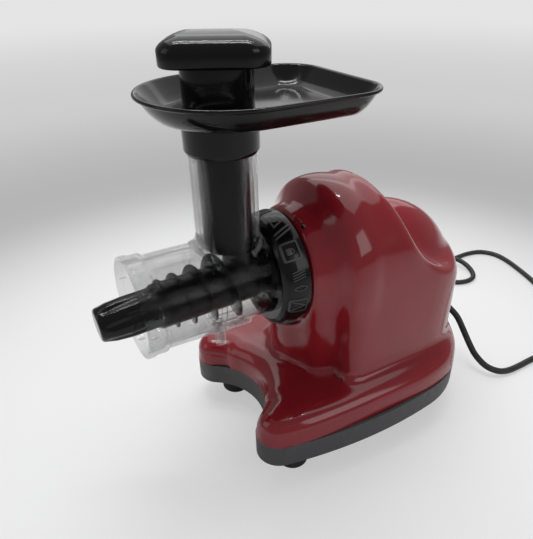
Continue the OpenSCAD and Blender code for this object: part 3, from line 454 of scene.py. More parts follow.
def filleted(corners: Sequence[Sequence[float]], steps: int = 5, closed: bool = True) -> list[Pair]:
    """Round the corners of an outline.

    Args:
        corners: Each corner's two coordinates and, if it is rounded, its radius.
        steps: Steps on each rounded corner.
        closed: Whether the last corner joins the first.

    Returns:
        The outline's points.
    """
    made: list[Pair] = []
    count = len(corners)
    for i, corner in enumerate(corners):
        here = Vector(corner[:2])
        radius = corner[2] if len(corner) > 2 else 0.0
        if not radius or (not closed and i in (0, count - 1)):
            made.append((here.x, here.y))
            continue
        back = Vector(corners[i - 1][:2]) - here
        ahead = Vector(corners[(i + 1) % count][:2]) - here
        half = back.angle(ahead) / 2
        if abs(half - math.pi / 2) < 1e-3:
            made.append((here.x, here.y))
            continue
        reach = min(radius / math.tan(half), 0.49 * min(back.length, ahead.length))
        start, end = here + back.normalized() * reach, here + ahead.normalized() * reach
        for k in range(steps + 1):
            t = k / steps
            p = start * (1 - t) ** 2 + here * (2 * t * (1 - t)) + end * t**2
            made.append((p.x, p.y))
    return made


def rounded_box(half: float, low: float, high: float, r: float, steps: int = 5) -> list[Pair]:
    """The outline of a rectangle about x = 0 with rounded corners."""
    return filleted([(-half, low, r), (half, low, r), (half, high, r), (-half, high, r)], steps)


def place_round(share: np.ndarray, count: int) -> np.ndarray:
    """Which of count places each share from 0 to 1 falls on, where 1 is the first place again."""
    return np.round(share * count).astype(int) % count


def place_along(share: np.ndarray, count: int) -> np.ndarray:
    """Which of count places each share from 0 to 1 falls on, in a row with two ends."""
    return np.round(share * (count - 1)).astype(int)


def round_edges(
    bm: bmesh.types.BMesh, edges: list[bmesh.types.BMEdge], width: float, segments: int
) -> None:
    """Round some edges of a mesh."""
    bmesh.ops.bevel(
        bm, geom=edges, offset=width, offset_type="OFFSET", affect="EDGES", segments=segments,
        profile=0.5, material=-1, clamp_overlap=True,
    )


class Form:
    """A mesh in the making, shaped with bmesh operators in the source's millimetres."""

    def __init__(self) -> None:
        """Start empty."""
        self.bm = bmesh.new()

    def turned(self, profile: Sequence[Pair], at: Matrix = Matrix(), steps: int = 96) -> "Form":
        """Turn a closed outline of (radius, height) points a full turn about z, then place it."""
        made = bmesh.new()
        verts = [made.verts.new((max(r, 0), 0, h)) for r, h in profile]
        edges = [made.edges.new((a, b)) for a, b in zip(verts, verts[1:] + verts[:1])]
        bmesh.ops.spin(
            made, geom=verts + edges, cent=(0, 0, 0), axis=(0, 0, 1), angle=FULL_TURN,
            steps=steps, use_merge=True,
        )
        return self._take(made, at)

    def plate(self, outline: Sequence[Pair], low: float, high: float, at: Matrix = Matrix(),
              edge: float = 0.0, segments: int = 2) -> "Form":
        """Extrude an outline in x and y from one height to another, with rounded edges."""
        made = bmesh.new()
        face = made.faces.new([made.verts.new((x, y, low)) for x, y in outline])
        grown = bmesh.ops.extrude_face_region(made, geom=[face])
        top = [v for v in grown["geom"] if isinstance(v, bmesh.types.BMVert)]
        bmesh.ops.translate(made, verts=top, vec=(0, 0, high - low))
        if edge:
            sharp = [e for e in made.edges if e.calc_face_angle(0) > 0.9]
            round_edges(made, sharp, edge, segments)
        return self._take(made, at)

    def skin(self, across: int, along: int, surface: Callable[[np.ndarray, np.ndarray], np.ndarray],
             at: Matrix = Matrix()) -> "Form":
        """Lay a grid over a surface, with edges that meet joined.

        Args:
            across: Steps in the first direction.
            along: Steps in the second direction.
            surface: Takes two arrays from 0 to 1 and gives an array of points.
            at: Where the result is placed.
        """
        made = bmesh.new()
        bmesh.ops.create_grid(made, x_segments=across, y_segments=along, size=0.5)
        spots = np.array([v.co[:2] for v in made.verts]) + 0.5
        for vert, point in zip(made.verts, surface(spots[:, 0], spots[:, 1])):
            vert.co = point
        return self._take(made, at)

    def box(self, low: Point, high: Point, edge: float = 0.0, at: Matrix = Matrix()) -> "Form":
        """A block between two corners, with rounded edges."""
        made = bmesh.new()
        bmesh.ops.create_cube(made, size=1)
        middle = (Vector(low) + Vector(high)) / 2
        bmesh.ops.scale(made, verts=made.verts, vec=Vector(high) - Vector(low))
        bmesh.ops.translate(made, verts=made.verts, vec=middle)
        if edge:
            round_edges(made, made.edges[:], edge, 3)
        return self._take(made, at)

    def node(self, name: str) -> "Form":
        """Take a copy of a CAD node, joined up, back in the source's millimetres."""
        made = bmesh.new()
        made.from_mesh(frame["nodes"][name].data)
        bmesh.ops.scale(made, verts=made.verts, vec=(1 / MM,) * 3)
        bmesh.ops.translate(made, verts=made.verts, vec=(0, MID_Y, 0))
        bmesh.ops.remove_doubles(made, verts=made.verts, dist=0.003)
        bmesh.ops.dissolve_limit(
            made, angle_limit=math.radians(1), verts=made.verts, edges=made.edges
        )
        return self._take(made, Matrix(), merge=0.0005)

    def softened(self, edge: float, angle: float = 35, segments: int = 2) -> "Form":
        """Round every edge that is sharper than an angle in degrees."""
        sharp = [e for e in self.bm.edges if e.calc_face_angle(0) > math.radians(angle)]
        round_edges(self.bm, sharp, edge, segments)
        return self

    def _take(self, made: bmesh.types.BMesh, at: Matrix, merge: float = 0.001) -> "Form":
        """Close a shape, turn its faces outwards, place it and add it to this form."""
        bmesh.ops.remove_doubles(made, verts=made.verts, dist=merge)
        bmesh.ops.recalc_face_normals(made, faces=made.faces)
        bmesh.ops.transform(made, matrix=at, verts=made.verts)
        if at.determinant() < 0:
            bmesh.ops.reverse_faces(made, faces=made.faces)
        return self._add(made)

    def _add(self, made: bmesh.types.BMesh) -> "Form":
        """Move a mesh into this form."""
        held = bpy.data.meshes.new("held")
        made.to_mesh(held)
        made.free()
        self.bm.from_mesh(held)
        bpy.data.meshes.remove(held)
        return self

    def sliced(self, axis: int, cuts: Iterable[float]) -> "Form":
        """Cut across an axis at some places, so that the form can bend there."""
        way = Vector([1.0 if i == axis else 0.0 for i in range(3)])
        for cut in cuts:
            geom = self.bm.verts[:] + self.bm.edges[:] + self.bm.faces[:]
            bmesh.ops.bisect_plane(self.bm, geom=geom, dist=1e-4, plane_co=way * cut, plane_no=way)
        return self

    def wrapped(self, r: float, turn: float, swell: Callable[[float], float] | None = None) -> "Form":
        """Bend a flat form on to a drum.

        Args:
            r: The drum's radius.
            turn: Where x is 0, in degrees from the top; x runs round the drum and z becomes radius.
            swell: The drum's radius at a place along y, where it changes.
        """
        for v in self.bm.verts:
            a = math.radians(turn) + v.co.x / r
            far = (swell(v.co.y) if swell else r) + v.co.z
            v.co = (far * math.sin(a), v.co.y, AXIS_Z + far * math.cos(a))
        bmesh.ops.recalc_face_normals(self.bm, faces=self.bm.faces)
        return self

    def plus(self, other: "Form") -> "Form":
        """Add another form's mesh to this one."""
        return self._add(other.bm)

    def cut(self, other: "Form", how: str = "DIFFERENCE") -> "Form":
        """Cut another form away, or join it, as one closed shape."""
        ours, theirs = self._loose("ours"), other._loose("theirs")
        knife = ours.modifiers.new("cut", "BOOLEAN")
        knife.object, knife.operation, knife.solver = theirs, how, "EXACT"
        graph = bpy.context.evaluated_depsgraph_get()
        self.bm = bmesh.new()
        self.bm.from_mesh(bpy.data.meshes.new_from_object(ours.evaluated_get(graph)))
        for o in (ours, theirs):
            bpy.data.meshes.remove(o.data)
        return self

    def _loose(self, name: str) -> bpy.types.Object:
        """Hand the mesh to a passing object, and empty this form."""
        mesh = bpy.data.meshes.new(name)
        self.bm.to_mesh(mesh)
        self.bm.free()
        return linked(name, mesh)

    def piece(
        self, name: str, finish: Finish, body: str, *nodes: str, smooth: float = 32
    ) -> bpy.types.Object:
        """Turn the form into a piece of the model.

        Args:
            name: The piece's name.
            finish: Its finish, which also names its material slot.
            body: The CAD body it rides on.
            nodes: The CAD nodes it stands for, if any.
            smooth: Edges sharper than this many degrees stay sharp.

        Returns:
            The object.
        """
        bmesh.ops.translate(self.bm, verts=self.bm.verts, vec=(0, -MID_Y, 0))
        bmesh.ops.scale(self.bm, verts=self.bm.verts, vec=(MM, MM, MM))
        mesh = bpy.data.meshes.new(name)
        self.bm.to_mesh(mesh)
        self.bm.free()
        mesh.materials.append(finish.material)
        mesh.shade_smooth()
        mesh.set_sharp_from_angle(angle=math.radians(smooth))
        return dressed(linked(name, mesh), finish, body, *nodes)


def dressed(made: bpy.types.Object, finish: Finish, body: str, *nodes: str) -> bpy.types.Object:
    """Parent a finished piece to the body it rides on, hide the CAD nodes it stands for, and log its body
    and slot.
    """
    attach(made, body)
    if nodes:
        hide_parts(*nodes)
    LOG.info("%s rides on %s in %s", made.name, body, finish.slot)
    return made


# ---------------------------------------------------------------- room


@dataclass
class Studio:
    """The camera, the lamps, and the pale floor and backdrop."""

    eye: Point = (326.92, -144.48, 368.63)
    azimuth: float = 60.18
    pitch: float = 33.48
    roll: float = -0.68
    focal_px: float = 535.85
    middle_px: Pair = (279.9, 307.0)
    image_px: Pair = (533, 539)
    floor_colour: Point = (0.86, 0.86, 0.865)
    backdrop: float = 0.72
    sky: float = 0.27

    def camera(self) -> None:
        """Make the camera and hand it to the scene."""
        data = bpy.data.cameras.new("camera")
        long_side = max(self.image_px)
        data.sensor_width = 36
        data.lens = self.focal_px * data.sensor_width / long_side
        data.shift_x = (self.image_px[0] / 2 - self.middle_px[0]) / long_side
        data.shift_y = (self.middle_px[1] - self.image_px[1] / 2) / long_side
        data.clip_start, data.clip_end = 0.01, 100
        seat = linked("camera", data)
        a, e, r = (math.radians(v) for v in (self.azimuth, self.pitch, self.roll))
        ahead = Vector((-math.sin(a) * math.cos(e), math.cos(a) * math.cos(e), -math.sin(e)))
        level = Vector((math.cos(a), math.sin(a), 0))
        above = level.cross(ahead)
        right = math.cos(r) * level + math.sin(r) * above
        up = math.cos(r) * above - math.sin(r) * level
        turn = Matrix((right, up, -ahead)).transposed().to_4x4()
        seat.matrix_world = Matrix.Translation(to_row(self.eye)) @ turn
        bpy.context.scene.camera = seat

    def lamp(self, name: str, at: Point, aim: Point, size: Pair, power: float, turn: float = 0) -> None:
        """One rectangular lamp, in metres in the row frame, turned about its aim by some degrees."""
        data = bpy.data.lights.new(name, "AREA")
        data.shape, data.size, data.size_y, data.energy = "RECTANGLE", size[0], size[1], power
        held = linked(name, data)
        held.location = at
        aimed = (Vector(aim) - Vector(at)).to_track_quat("-Z", "Y").to_matrix()
        held.rotation_euler = (aimed @ Matrix.Rotation(math.radians(turn), 3, "Z")).to_euler()

    def seen(self, tree: Tree) -> Value:
        """1 for rays from the camera or through clear plastic, and 0 for the rest."""
        path = tree.add("ShaderNodeLightPath").outputs
        return Value(tree, path["Is Camera Ray"]) + Value(tree, path["Is Transmission Ray"])

    def floor(self) -> None:
        """A wide pale floor that turns into a grey glow away from the juicer, with painted light in it: a
        bright pool round the juicer, a dimmer band, and a lighter backdrop beyond.
        """
        tree = Tree("studio_floor")
        place = tree.add("ShaderNodeVectorMath", {"operation": "LENGTH"}, in_0=tree.place())
        away = Value(tree, place.outputs["Value"])
        far = away.above(0.5, 0.25)
        # Painted light in the glow: bright near the juicer, a painted shade band from about 0.44 m, and two
        # lighter steps at 1 m and 2.5 m; the floor itself is flat.
        painted_dim_band, wall, top = away.above(0.44, 0.19), away.above(1.0, 0.4), away.above(2.5, 1.3)
        level = painted_dim_band * -0.47 + wall * 0.16 + top * 0.17 + 0.92
        darker = tuple(0.985 * c for c in self.floor_colour)
        colour = tree.mix(tree.noise(3, 2), darker, self.floor_colour)
        paint = tree.add("ShaderNodeBsdfDiffuse", Color=colour)
        grey = tree.add("ShaderNodeEmission", Color=level, Strength=1.0)
        # Near the juicer the camera sees half painted glow and half lit floor, which paints light over the
        # floor's real shadow there.
        seen = self.seen(tree).above(0.5, 0.4) * (far * 0.5 + 0.5)
        mixed = tree.add("ShaderNodeMixShader", in_0=seen, in_1=paint.outputs[0], in_2=grey.outputs[0])
        tree.surface(mixed)
        made = bmesh.new()
        bmesh.ops.create_grid(made, x_segments=1, y_segments=1, size=30)
        mesh = bpy.data.meshes.new("studio_floor")
        made.to_mesh(mesh)
        mesh.materials.append(tree.owner)
        linked("studio_floor", mesh)

    def build(self) -> None:
        """Set the lamps, the surroundings and the floor."""
        self.lamp("lamp_above", (-0.5, 0.35, 1.3), (0, 0, 0.1), (1.8, 1.4), 8)
        self.lamp("lamp_back", (-1.5, 1.3, 1.05), (0, 0, 0.2), (2.2, 1.2), 7)
        self.lamp("lamp_left", (-0.35, -1.25, 0.75), (0, 0, 0.15), (0.7, 0.9), 1.5)
        self.lamp("lamp_right", (1.35, 0.55, 0.9), (0, 0, 0.15), (0.8, 0.9), 4)
        for side, name in ((-1, "strip_left"), (1, "strip_right")):
            x, y = side * 0.087 - 0.2, side * -0.05
            self.lamp(name, (x, y, 1.05), (x, y, 0), (0.6, 0.015), 2.0, 60)
        world = bpy.data.worlds.new("room")
        tree = Tree("room", world)
        sky, backdrop = (
            tree.add("ShaderNodeBackground", Color=(0.97, 0.98, 1.0, 1), Strength=strength).outputs[0]
            for strength in (self.sky, self.backdrop)
        )
        seen = self.seen(tree).above(0.5, 0.4)
        room = tree.add("ShaderNodeMixShader", in_0=seen, in_1=sky, in_2=backdrop)
        tree.add("ShaderNodeOutputWorld", Surface=room.outputs[0])
        bpy.context.scene.world = world
        bpy.context.scene.view_settings.view_transform = "Standard"
        self.floor()


# ---------------------------------------------------------------- mains cord


@dataclass
class MainsCord:
    """The cord with its bent gland, its coil, the tie and the plug."""

    gland_base: Point = (-6, 228.03, 62)
    gland_r: float = 6.5
    gland_end_r: float = 4.4
    gland_bend_r: float = 18
    gland_bend: float = 70
    gland_lean: Point = (0.8, 0, -0.6)
    coil: Pair = (-112, 290)
    coil_out_r: float = 41.3
    coil_start: float = 164.84
    coil_turn: float = 965.3
    plug: Pair = (-190, 240)
    plug_h: float = 26
    route: tuple[Point, ...] = (
        (10, 248, 50), (17, 250, 44.5), (28, 250, 34), (39, 249, 24.6), (49.5, 248.5, 17.2),
        (61.5, 251.6, 10.5), (70.3, 260.6, 5.9), (74, 273, 3.8), (74.5, 290, 3.2), (74, 310, 3.2),
        (75, 332, 3.2), (71, 354, 3.2), (61, 375, 3.2), (44, 396, 3.2), (22, 415, 3.2),
        (-4, 433, 3.2), (-32, 447, 3.2), (-62, 457, 3.2), (-90, 463.85, 3.2),
        (-111, 463.85, 3.2), (-127, 453, 3.2), (-133, 434, 3.2), (-133, 414, 3.2),
        (-132, 393, 3.2), (-128.5, 372, 3.2), (-118, 356, 3.2), (-101, 350.5, 3.2),
        (-85, 357.5, 3.2), (-78.5, 373, 3.2), (-82, 389, 3.2), (-95.5, 399.5, 4),
        (-112, 401, 7.5), (-129, 395, 9.8), (-142, 383, 9), (-149, 366, 6), (-152, 347, 3.6),
        (-153.5, 325, 3.2), (-151.9, 300.8, 3.2),
    )
    lead: tuple[Point, ...] = (
        (-96.4, 308.5, 3.2), (-101, 311.6, 4.4), (-107, 314, 6.6), (-113.5, 315.8, 8.8),
        (-124, 318, 9.8), (-138, 320.5, 9.8), (-152, 322, 10.2), (-166, 322, 11.2),
        (-179, 316, 12.3), (-187, 305, 12.9), (-190, 292, 13),
    )

    def gland_point(self, turn: float) -> Vector:
        """The gland's middle line after it has bent through so many degrees."""
        a = math.radians(turn)
        bent = math.sin(a) * Vector((0, 1, 0)) + (1 - math.cos(a)) * Vector(self.gland_lean)
        return Vector(self.gland_base) + self.gland_bend_r * bent

    @staticmethod
    def smooth(path: Sequence[Sequence[float]], steps: int) -> list[Vector]:
        """A smooth curve through given points."""
        points = [Vector(p) for p in path]
        ends = [2 * points[0] - points[1], *points, 2 * points[-1] - points[-2]]
        made = []
        for a, b, c, d in zip(ends, ends[1:], ends[2:], ends[3:]):
            for k in range(steps):
                t = k / steps
                made.append(
                    (2 * b + (c - a) * t + (2 * a - 5 * b + 4 * c - d) * t * t
                     + (3 * b - a - 3 * c + d) * t**3) / 2
                )
        return [*made, points[-1]]

    def line(self) -> list[Vector]:
        """The cord's whole middle line: loose route, coil, and lead to the plug."""
        turns = self.coil_turn / 360
        steps = round(26 * turns)
        coil = []
        for k in range(1, steps):
            a = math.radians(self.coil_start + self.coil_turn * k / steps)
            r = self.coil_out_r - CORD_D * turns * k / steps
            coil.append(Vector((self.coil[0] + r * math.cos(a), self.coil[1] + r * math.sin(a), CORD_R)))
        loose = self.smooth([self.gland_point(self.gland_bend), *self.route], 3)
        return loose + coil + self.smooth(self.lead, 3)

    def cord(self, line: Sequence[Vector]) -> bpy.types.Object:
        """The jacketed cord as one open curve, along a line in the row frame."""
        data = bpy.data.curves.new("mains_cord", "CURVE")
        data.dimensions, data.bevel_depth, data.bevel_resolution = "3D", CORD_R * MM, 5
        data.use_fill_caps = True
        spline = data.splines.new("POLY")
        spline.points.add(len(line) - 1)
        for spot, point in zip(spline.points, line):
            spot.co = (*point, 1)
        spline.use_smooth = True
        data.materials.append(Finish.CORD_RUBBER.material)
        made = linked("mains_cord", data)
        return dressed(made, Finish.CORD_RUBBER, "base", "cord", "cord_coil", "plug_lead")

    def gland(self) -> None:
        """The bent strain relief, with ribs that let it flex."""
        bend, straight = self.gland_bend, 16.0
        ribs, rib_depth, first_rib = 8, 0.55, 0.3

        def surface(u: np.ndarray, v: np.ndarray) -> np.ndarray:
            """Round the gland with u, along it with v; the ends close on its middle line."""
            made = np.zeros((len(u), 3))
            for i, (a, t) in enumerate(zip((u * FULL_TURN).tolist(), v.tolist())):
                t = min(max((t - 0.02) / 0.96, 0), 1)
                bent = max(t - first_rib, 0) / (1 - first_rib)
                middle = self.gland_point(bend * bent)
                middle.y -= straight * (1 - min(t / first_rib, 1))
                way = math.radians(bend * bent)
                ahead = math.cos(way) * Vector((0, 1, 0)) + math.sin(way) * Vector(self.gland_lean)
                side = ahead.cross(Vector((0, 0, 1))).normalized()
                r = self.gland_r + (self.gland_end_r - self.gland_r) * bent
                if 0.02 < bent < 0.93:
                    r -= rib_depth * (0.5 - 0.5 * math.cos(FULL_TURN * ribs * bent)) ** 3
                if v[i] in (0.0, 1.0):
                    r = 0.0
                made[i] = middle + r * (math.cos(a) * side + math.sin(a) * side.cross(ahead))
            return made

        Form().skin(32, 100, surface).piece("gland_boot", Finish.BLACK_SATIN, "base", "cord_gland")
        flange = filleted([(4, -2.4), (9.4, -2.4), (9.4, 0.2, 1), (7.6, 1.2, 0.8), (4, 1.2)])
        x, y, z = self.gland_base
        Form().turned(flange, along_y(x, y - 5.2, z), 48).piece("gland_collar", Finish.BLACK_SATIN, "base")

    def tie(self) -> bpy.types.Object:
        """A hook-and-loop strap round the coil."""
        r = (self.coil_out_r + CORD_R + 25.5) / 2
        half_w, half_x, top = 10.2, 4.0, CORD_D + 1.1
        outer = filleted([(-half_w, 0.1, 1), (half_w, 0.1, 1), (half_w, top, 2.4), (-half_w, top, 2.4)])
        inner = filleted([(-half_w + 1.1, 0.6), (half_w - 1.1, 0.6), (half_w - 1.1, top - 1, 1.8),
                          (-half_w + 1.1, top - 1, 1.8)])
        seat = Matrix.Translation((self.coil[0], self.coil[1] - r, 0)) @ Matrix(
            ((0, 0, 1, 0), (1, 0, 0, 0), (0, 1, 0, 0), (0, 0, 0, 1))
        )
        band = Form().plate(outer, -half_x, half_x, seat, 0.3)
        hole = Form().plate(inner, -half_x - 1, half_x + 1, seat)
        return band.cut(hole).piece("coil_strap", Finish.BLACK_SATIN, "base", "coil_tie")

    def plug_pieces(self) -> list[bpy.types.Object]:
        """The plug's body with its grip and tail, and its two pins."""
        x, y = self.plug
        half = self.plug_h / 2
        seat = along_y(x, y, half)
        body = filleted([
            (0, -4), (half, -4, 1.6), (half, 1.5, 1.5), (half - 2.2, 3, 1.5), (half - 2.6, 15, 6),
            (half - 1, 24, 4), (half - 1.6, 34, 4), (7, 38.5, 3), (5.2, 44, 2), (4.8, 52, 0.6), (0, 52),
        ])
        form = Form().turned(body, seat, 64)
        for i in range(5):
            ring = [(half - 4.2, 12.5 + 3 * i), (half - 1.7, 12.8 + 3 * i), (half - 1.7, 14 + 3 * i),
                    (half - 4.2, 14.3 + 3 * i)]
            form.turned(ring, seat, 64)
        made = [form.piece("plug_shell", Finish.BLACK_SATIN, "base", "plug_body")]
        pins = Form()
        for side in (-9.5, 9.5):
            at = Matrix.Translation((x + side, y - 4, half)) @ Matrix.Rotation(math.pi / 2, 4, "X")
            pins.turned(filleted([(0, 0.1), (2, 0.1), (2, 17, 0.8), (0, 17)]), at, 24)
        made.append(pins.piece("plug_contacts", Finish.PIN_METAL, "base", "plug_pins"))
        return made

    def build(self) -> None:
        line = [to_row(p) for p in self.line()]
        made = self.cord(line)
        self.gland()
        on_it = [self.tie(), *self.plug_pieces()]


# ---------------------------------------------------------------- housing


def blend_min(a: np.ndarray, b: np.ndarray, k: float) -> np.ndarray:
    """A smooth union of two distances, blended over k."""
    return np.minimum(a, b) - np.maximum(k - np.abs(a - b), 0) ** 2 / (4 * k)


def blend_max(a: np.ndarray, b: np.ndarray, k: float) -> np.ndarray:
    """A smooth intersection of two distances, blended over k."""
    return -blend_min(-a, -b, k)


@dataclass
class Housing:
    """The red moulding: a deck, a body with a hood, a dome, a neck and a bib, blended together."""

    half_width: float = 87.7
    widest_y: float = 96
    side_r: float = 416
    rear_centre_y: float = 141
    tip_r: float = 19
    tip_y: float = 7
    notch_y: float = -35
    deck_z: float = 67
    deck_round: float = 13
    body_half_w: float = 66
    arch_z: float = 158
    body_front_y: float = 71
    body_back_y: float = 151.5
    shoulder_z: float = 140
    dome_z: float = 195.5
    dome_y: float = 132
    dome_mid_z: float = 101
    dome_half: Pair = (52.5, 94.5)
    dome_power: float = 2.0
    crest: Pair = (117.5, 224)
    crest_low: Pair = (130, 178)
    neck_r: float = 46.5
    neck_len: float = 40
    neck_flare: float = 0.019
    neck_hole_r: float = 40.0
    bib_y: float = 54
    bib_half_w: float = 38
    bib_z: Pair = (60, 150)
    bib_spread: float = 0.12
    bib_lean: float = 0.13
    deck_draft: float = 0.06
    dome_blend: float = 10
    neck_blend: float = 14
    bib_blend: float = 8
    deck_blend: float = 12
    wall: float = 2.6
    middle: Point = (0, 110, 44)
    skin_steps: tuple[int, int] = (320, 146)
    search_steps: int = 60
    smoothings: int = 8

    def __post_init__(self) -> None:
        """Work out the plan's tangent arcs."""
        self.side_x = self.half_width - self.side_r
        reach = (self.side_r - self.tip_r) ** 2 - (self.tip_y - self.widest_y) ** 2
        self.tip_x = self.side_x + math.sqrt(reach)
        self.notch_r = math.hypot(self.tip_x, self.tip_y - self.notch_y) - self.tip_r
        self.rear_r = self.side_r - math.hypot(self.side_x, self.rear_centre_y - self.widest_y)

    def plan(self, x: np.ndarray, y: np.ndarray) -> np.ndarray:
        """How far a point is outside the plan of the base."""
        side = np.hypot(x - self.side_x, y - self.widest_y) - self.side_r
        rear = np.hypot(x, np.maximum(y - self.rear_centre_y, 0)) - self.rear_r
        tip = np.hypot(x - self.tip_x, y - self.tip_y) - self.tip_r
        pronged = np.maximum(blend_max(side, rear, 6), np.minimum(self.tip_y - y, tip))
        notched = np.maximum(pronged, self.notch_r - np.hypot(x, y - self.notch_y))
        return np.where(x < self.tip_x, notched, pronged)

    def deck(self, x: np.ndarray, y: np.ndarray, z: np.ndarray) -> np.ndarray:
        """The low deck with its rounded edge."""
        side = self.plan(x, y) + self.deck_draft * (z - SEAM_Z) + self.deck_round
        top = z - (self.deck_z - self.deck_round)
        outside = np.hypot(np.maximum(side, 0), np.maximum(top, 0))
        return np.minimum(np.maximum(side, top), 0) + outside - self.deck_round

    def body(self, x: np.ndarray, y: np.ndarray, z: np.ndarray) -> np.ndarray:
        """The arched body with its hood in front."""
        arch = np.hypot(x, np.maximum(z - self.arch_z, 0)) - self.body_half_w
        steep = 0.95 * (y - self.crest[0]) + 0.312 * (z - self.crest[1])
        gentle = 0.672 * (y - self.crest_low[0]) + 0.741 * (z - self.crest_low[1])
        crest = blend_min(steep, gentle, 10)
        roof = blend_max(arch, blend_min(crest, z - self.shoulder_z, 24), 12)
        faced = blend_max(roof, self.body_front_y - y, 15)
        back = np.hypot(x, np.maximum(y - self.body_back_y, 0)) - self.body_half_w
        return blend_max(faced, back, 10)

    def dome(self, x: np.ndarray, y: np.ndarray, z: np.ndarray) -> np.ndarray:
        """The rear dome."""
        p = self.dome_power
        u = (x / self.dome_half[0]) ** p
        v = (np.abs(y - self.dome_y) / self.dome_half[1]) ** p
        w = (np.abs(z - self.dome_mid_z) / (self.dome_z - self.dome_mid_z)) ** p
        return 60 * ((u + v + w) ** (1 / p) - 1)

    def neck(self, x: np.ndarray, y: np.ndarray, z: np.ndarray) -> np.ndarray:
        """The round neck that flares back into the body."""
        flare = self.neck_flare * np.clip(y - NECK_Y, 0, 26) ** 2
        tube = blend_max(np.hypot(x, z - AXIS_Z) - self.neck_r - flare, NECK_Y - y, 3)
        return blend_max(tube, y - NECK_Y - self.neck_len, 6)

    def bib(self, x: np.ndarray, y: np.ndarray, z: np.ndarray) -> np.ndarray:
        """The upright bib below the neck."""
        low, high = self.bib_z
        side = x - self.bib_half_w - self.bib_spread * (z - low)
        front = np.maximum(self.bib_y - self.bib_lean * (z - low), NECK_Y + 0.5) - y
        return blend_max(blend_max(blend_max(side, front, 16), z - high, 10), y - 110, 4)

    def gap(self, p: np.ndarray) -> np.ndarray:
        """How far each point is outside the housing."""
        x, y, z = np.abs(p[:, 0]), p[:, 1], p[:, 2]
        domed = blend_min(self.body(x, y, z), self.dome(x, y, z), self.dome_blend)
        necked = blend_min(domed, self.neck(x, y, z), self.neck_blend)
        bibbed = blend_min(necked, self.bib(x, y, z), self.bib_blend)
        decked = blend_min(bibbed, self.deck(x, y, z), self.deck_blend)
        seat = np.minimum(self.neck_r + 2.5 - np.hypot(x, z - AXIS_Z), NECK_Y - y)
        return np.maximum(decked, seat)

    def surface(self, u: np.ndarray, v: np.ndarray) -> np.ndarray:
        """The skin in every direction from the middle: u runs round and v runs up."""
        t = np.where(u <= 0.5, 2 * u, 2 - 2 * u)
        spread = np.pi * t * (0.55 + 0.45 * t)
        turn = np.where(u <= 0.5, spread, -spread) - np.pi / 2
        rise = np.pi / 2 * v**1.25
        ways = np.stack([np.cos(turn) * np.cos(rise), np.sin(turn) * np.cos(rise), np.sin(rise)], 1)
        start = np.array(self.middle)
        far = np.full(len(u), 30.0)
        for _ in range(self.search_steps):
            far = far - self.gap(start + far[:, None] * ways)
        return start + far[:, None] * ways

    def open_neck(self, form: Form) -> None:
        """Open the round hole in the neck's front face for the drum's socket."""
        bm, r = form.bm, self.neck_hole_r
        inside = [
            f for f in bm.faces
            if f.calc_center_median().y < NECK_Y + 2
            and math.hypot(f.calc_center_median().x, f.calc_center_median().z - AXIS_Z) < r
        ]
        bmesh.ops.delete(bm, geom=inside, context="FACES")
        for v in bm.verts:
            far = math.hypot(v.co.x, v.co.z - AXIS_Z)
            if v.is_boundary and v.co.z > SEAM_Z + 10 and v.co.y < NECK_Y + 4:
                v.co = (v.co.x * r / far, NECK_Y, AXIS_Z + (v.co.z - AXIS_Z) * r / far)

    def marks(self) -> None:
        """The dot that shows where the ring locks, with two small marks beside it."""
        dot = Form()
        r, y = self.neck_r + self.neck_flare * 5**2 + 0.1, 51.0
        dot.plate(arc((0, y), 1.8, 0, 345, 23), -0.6, 0.25, edge=0.1)
        for x, w in ((-4.6, 0.9), (-7.4, 0.7)):
            dot.plate([(x - w, y - 0.8), (x + w, y - 0.4), (x + w, y + 0.4), (x - w, y + 0.8)], -0.6, 0.2)
        dot.wrapped(r, 29).piece("lock_marks", Finish.BLACK_GLOSS, "base")

    def build(self) -> None:
        """Make the shell with its wall, and its marks."""
        form = Form().skin(*self.skin_steps, self.surface)
        self.open_neck(form)
        inner = [v for v in form.bm.verts if not v.is_boundary]
        for _ in range(self.smoothings):
            bmesh.ops.smooth_vert(
                form.bm, verts=inner, factor=0.5, use_axis_x=True, use_axis_y=True, use_axis_z=True
            )
        shell = form.piece("housing_skin", Finish.RED_GLOSS, "base", "housing_shell", smooth=60)
        wall = shell.modifiers.new("wall", "SOLIDIFY")
        wall.thickness, wall.offset, wall.use_even_offset = self.wall * MM, -1, False
        self.marks()


# ---------------------------------------------------------------- base


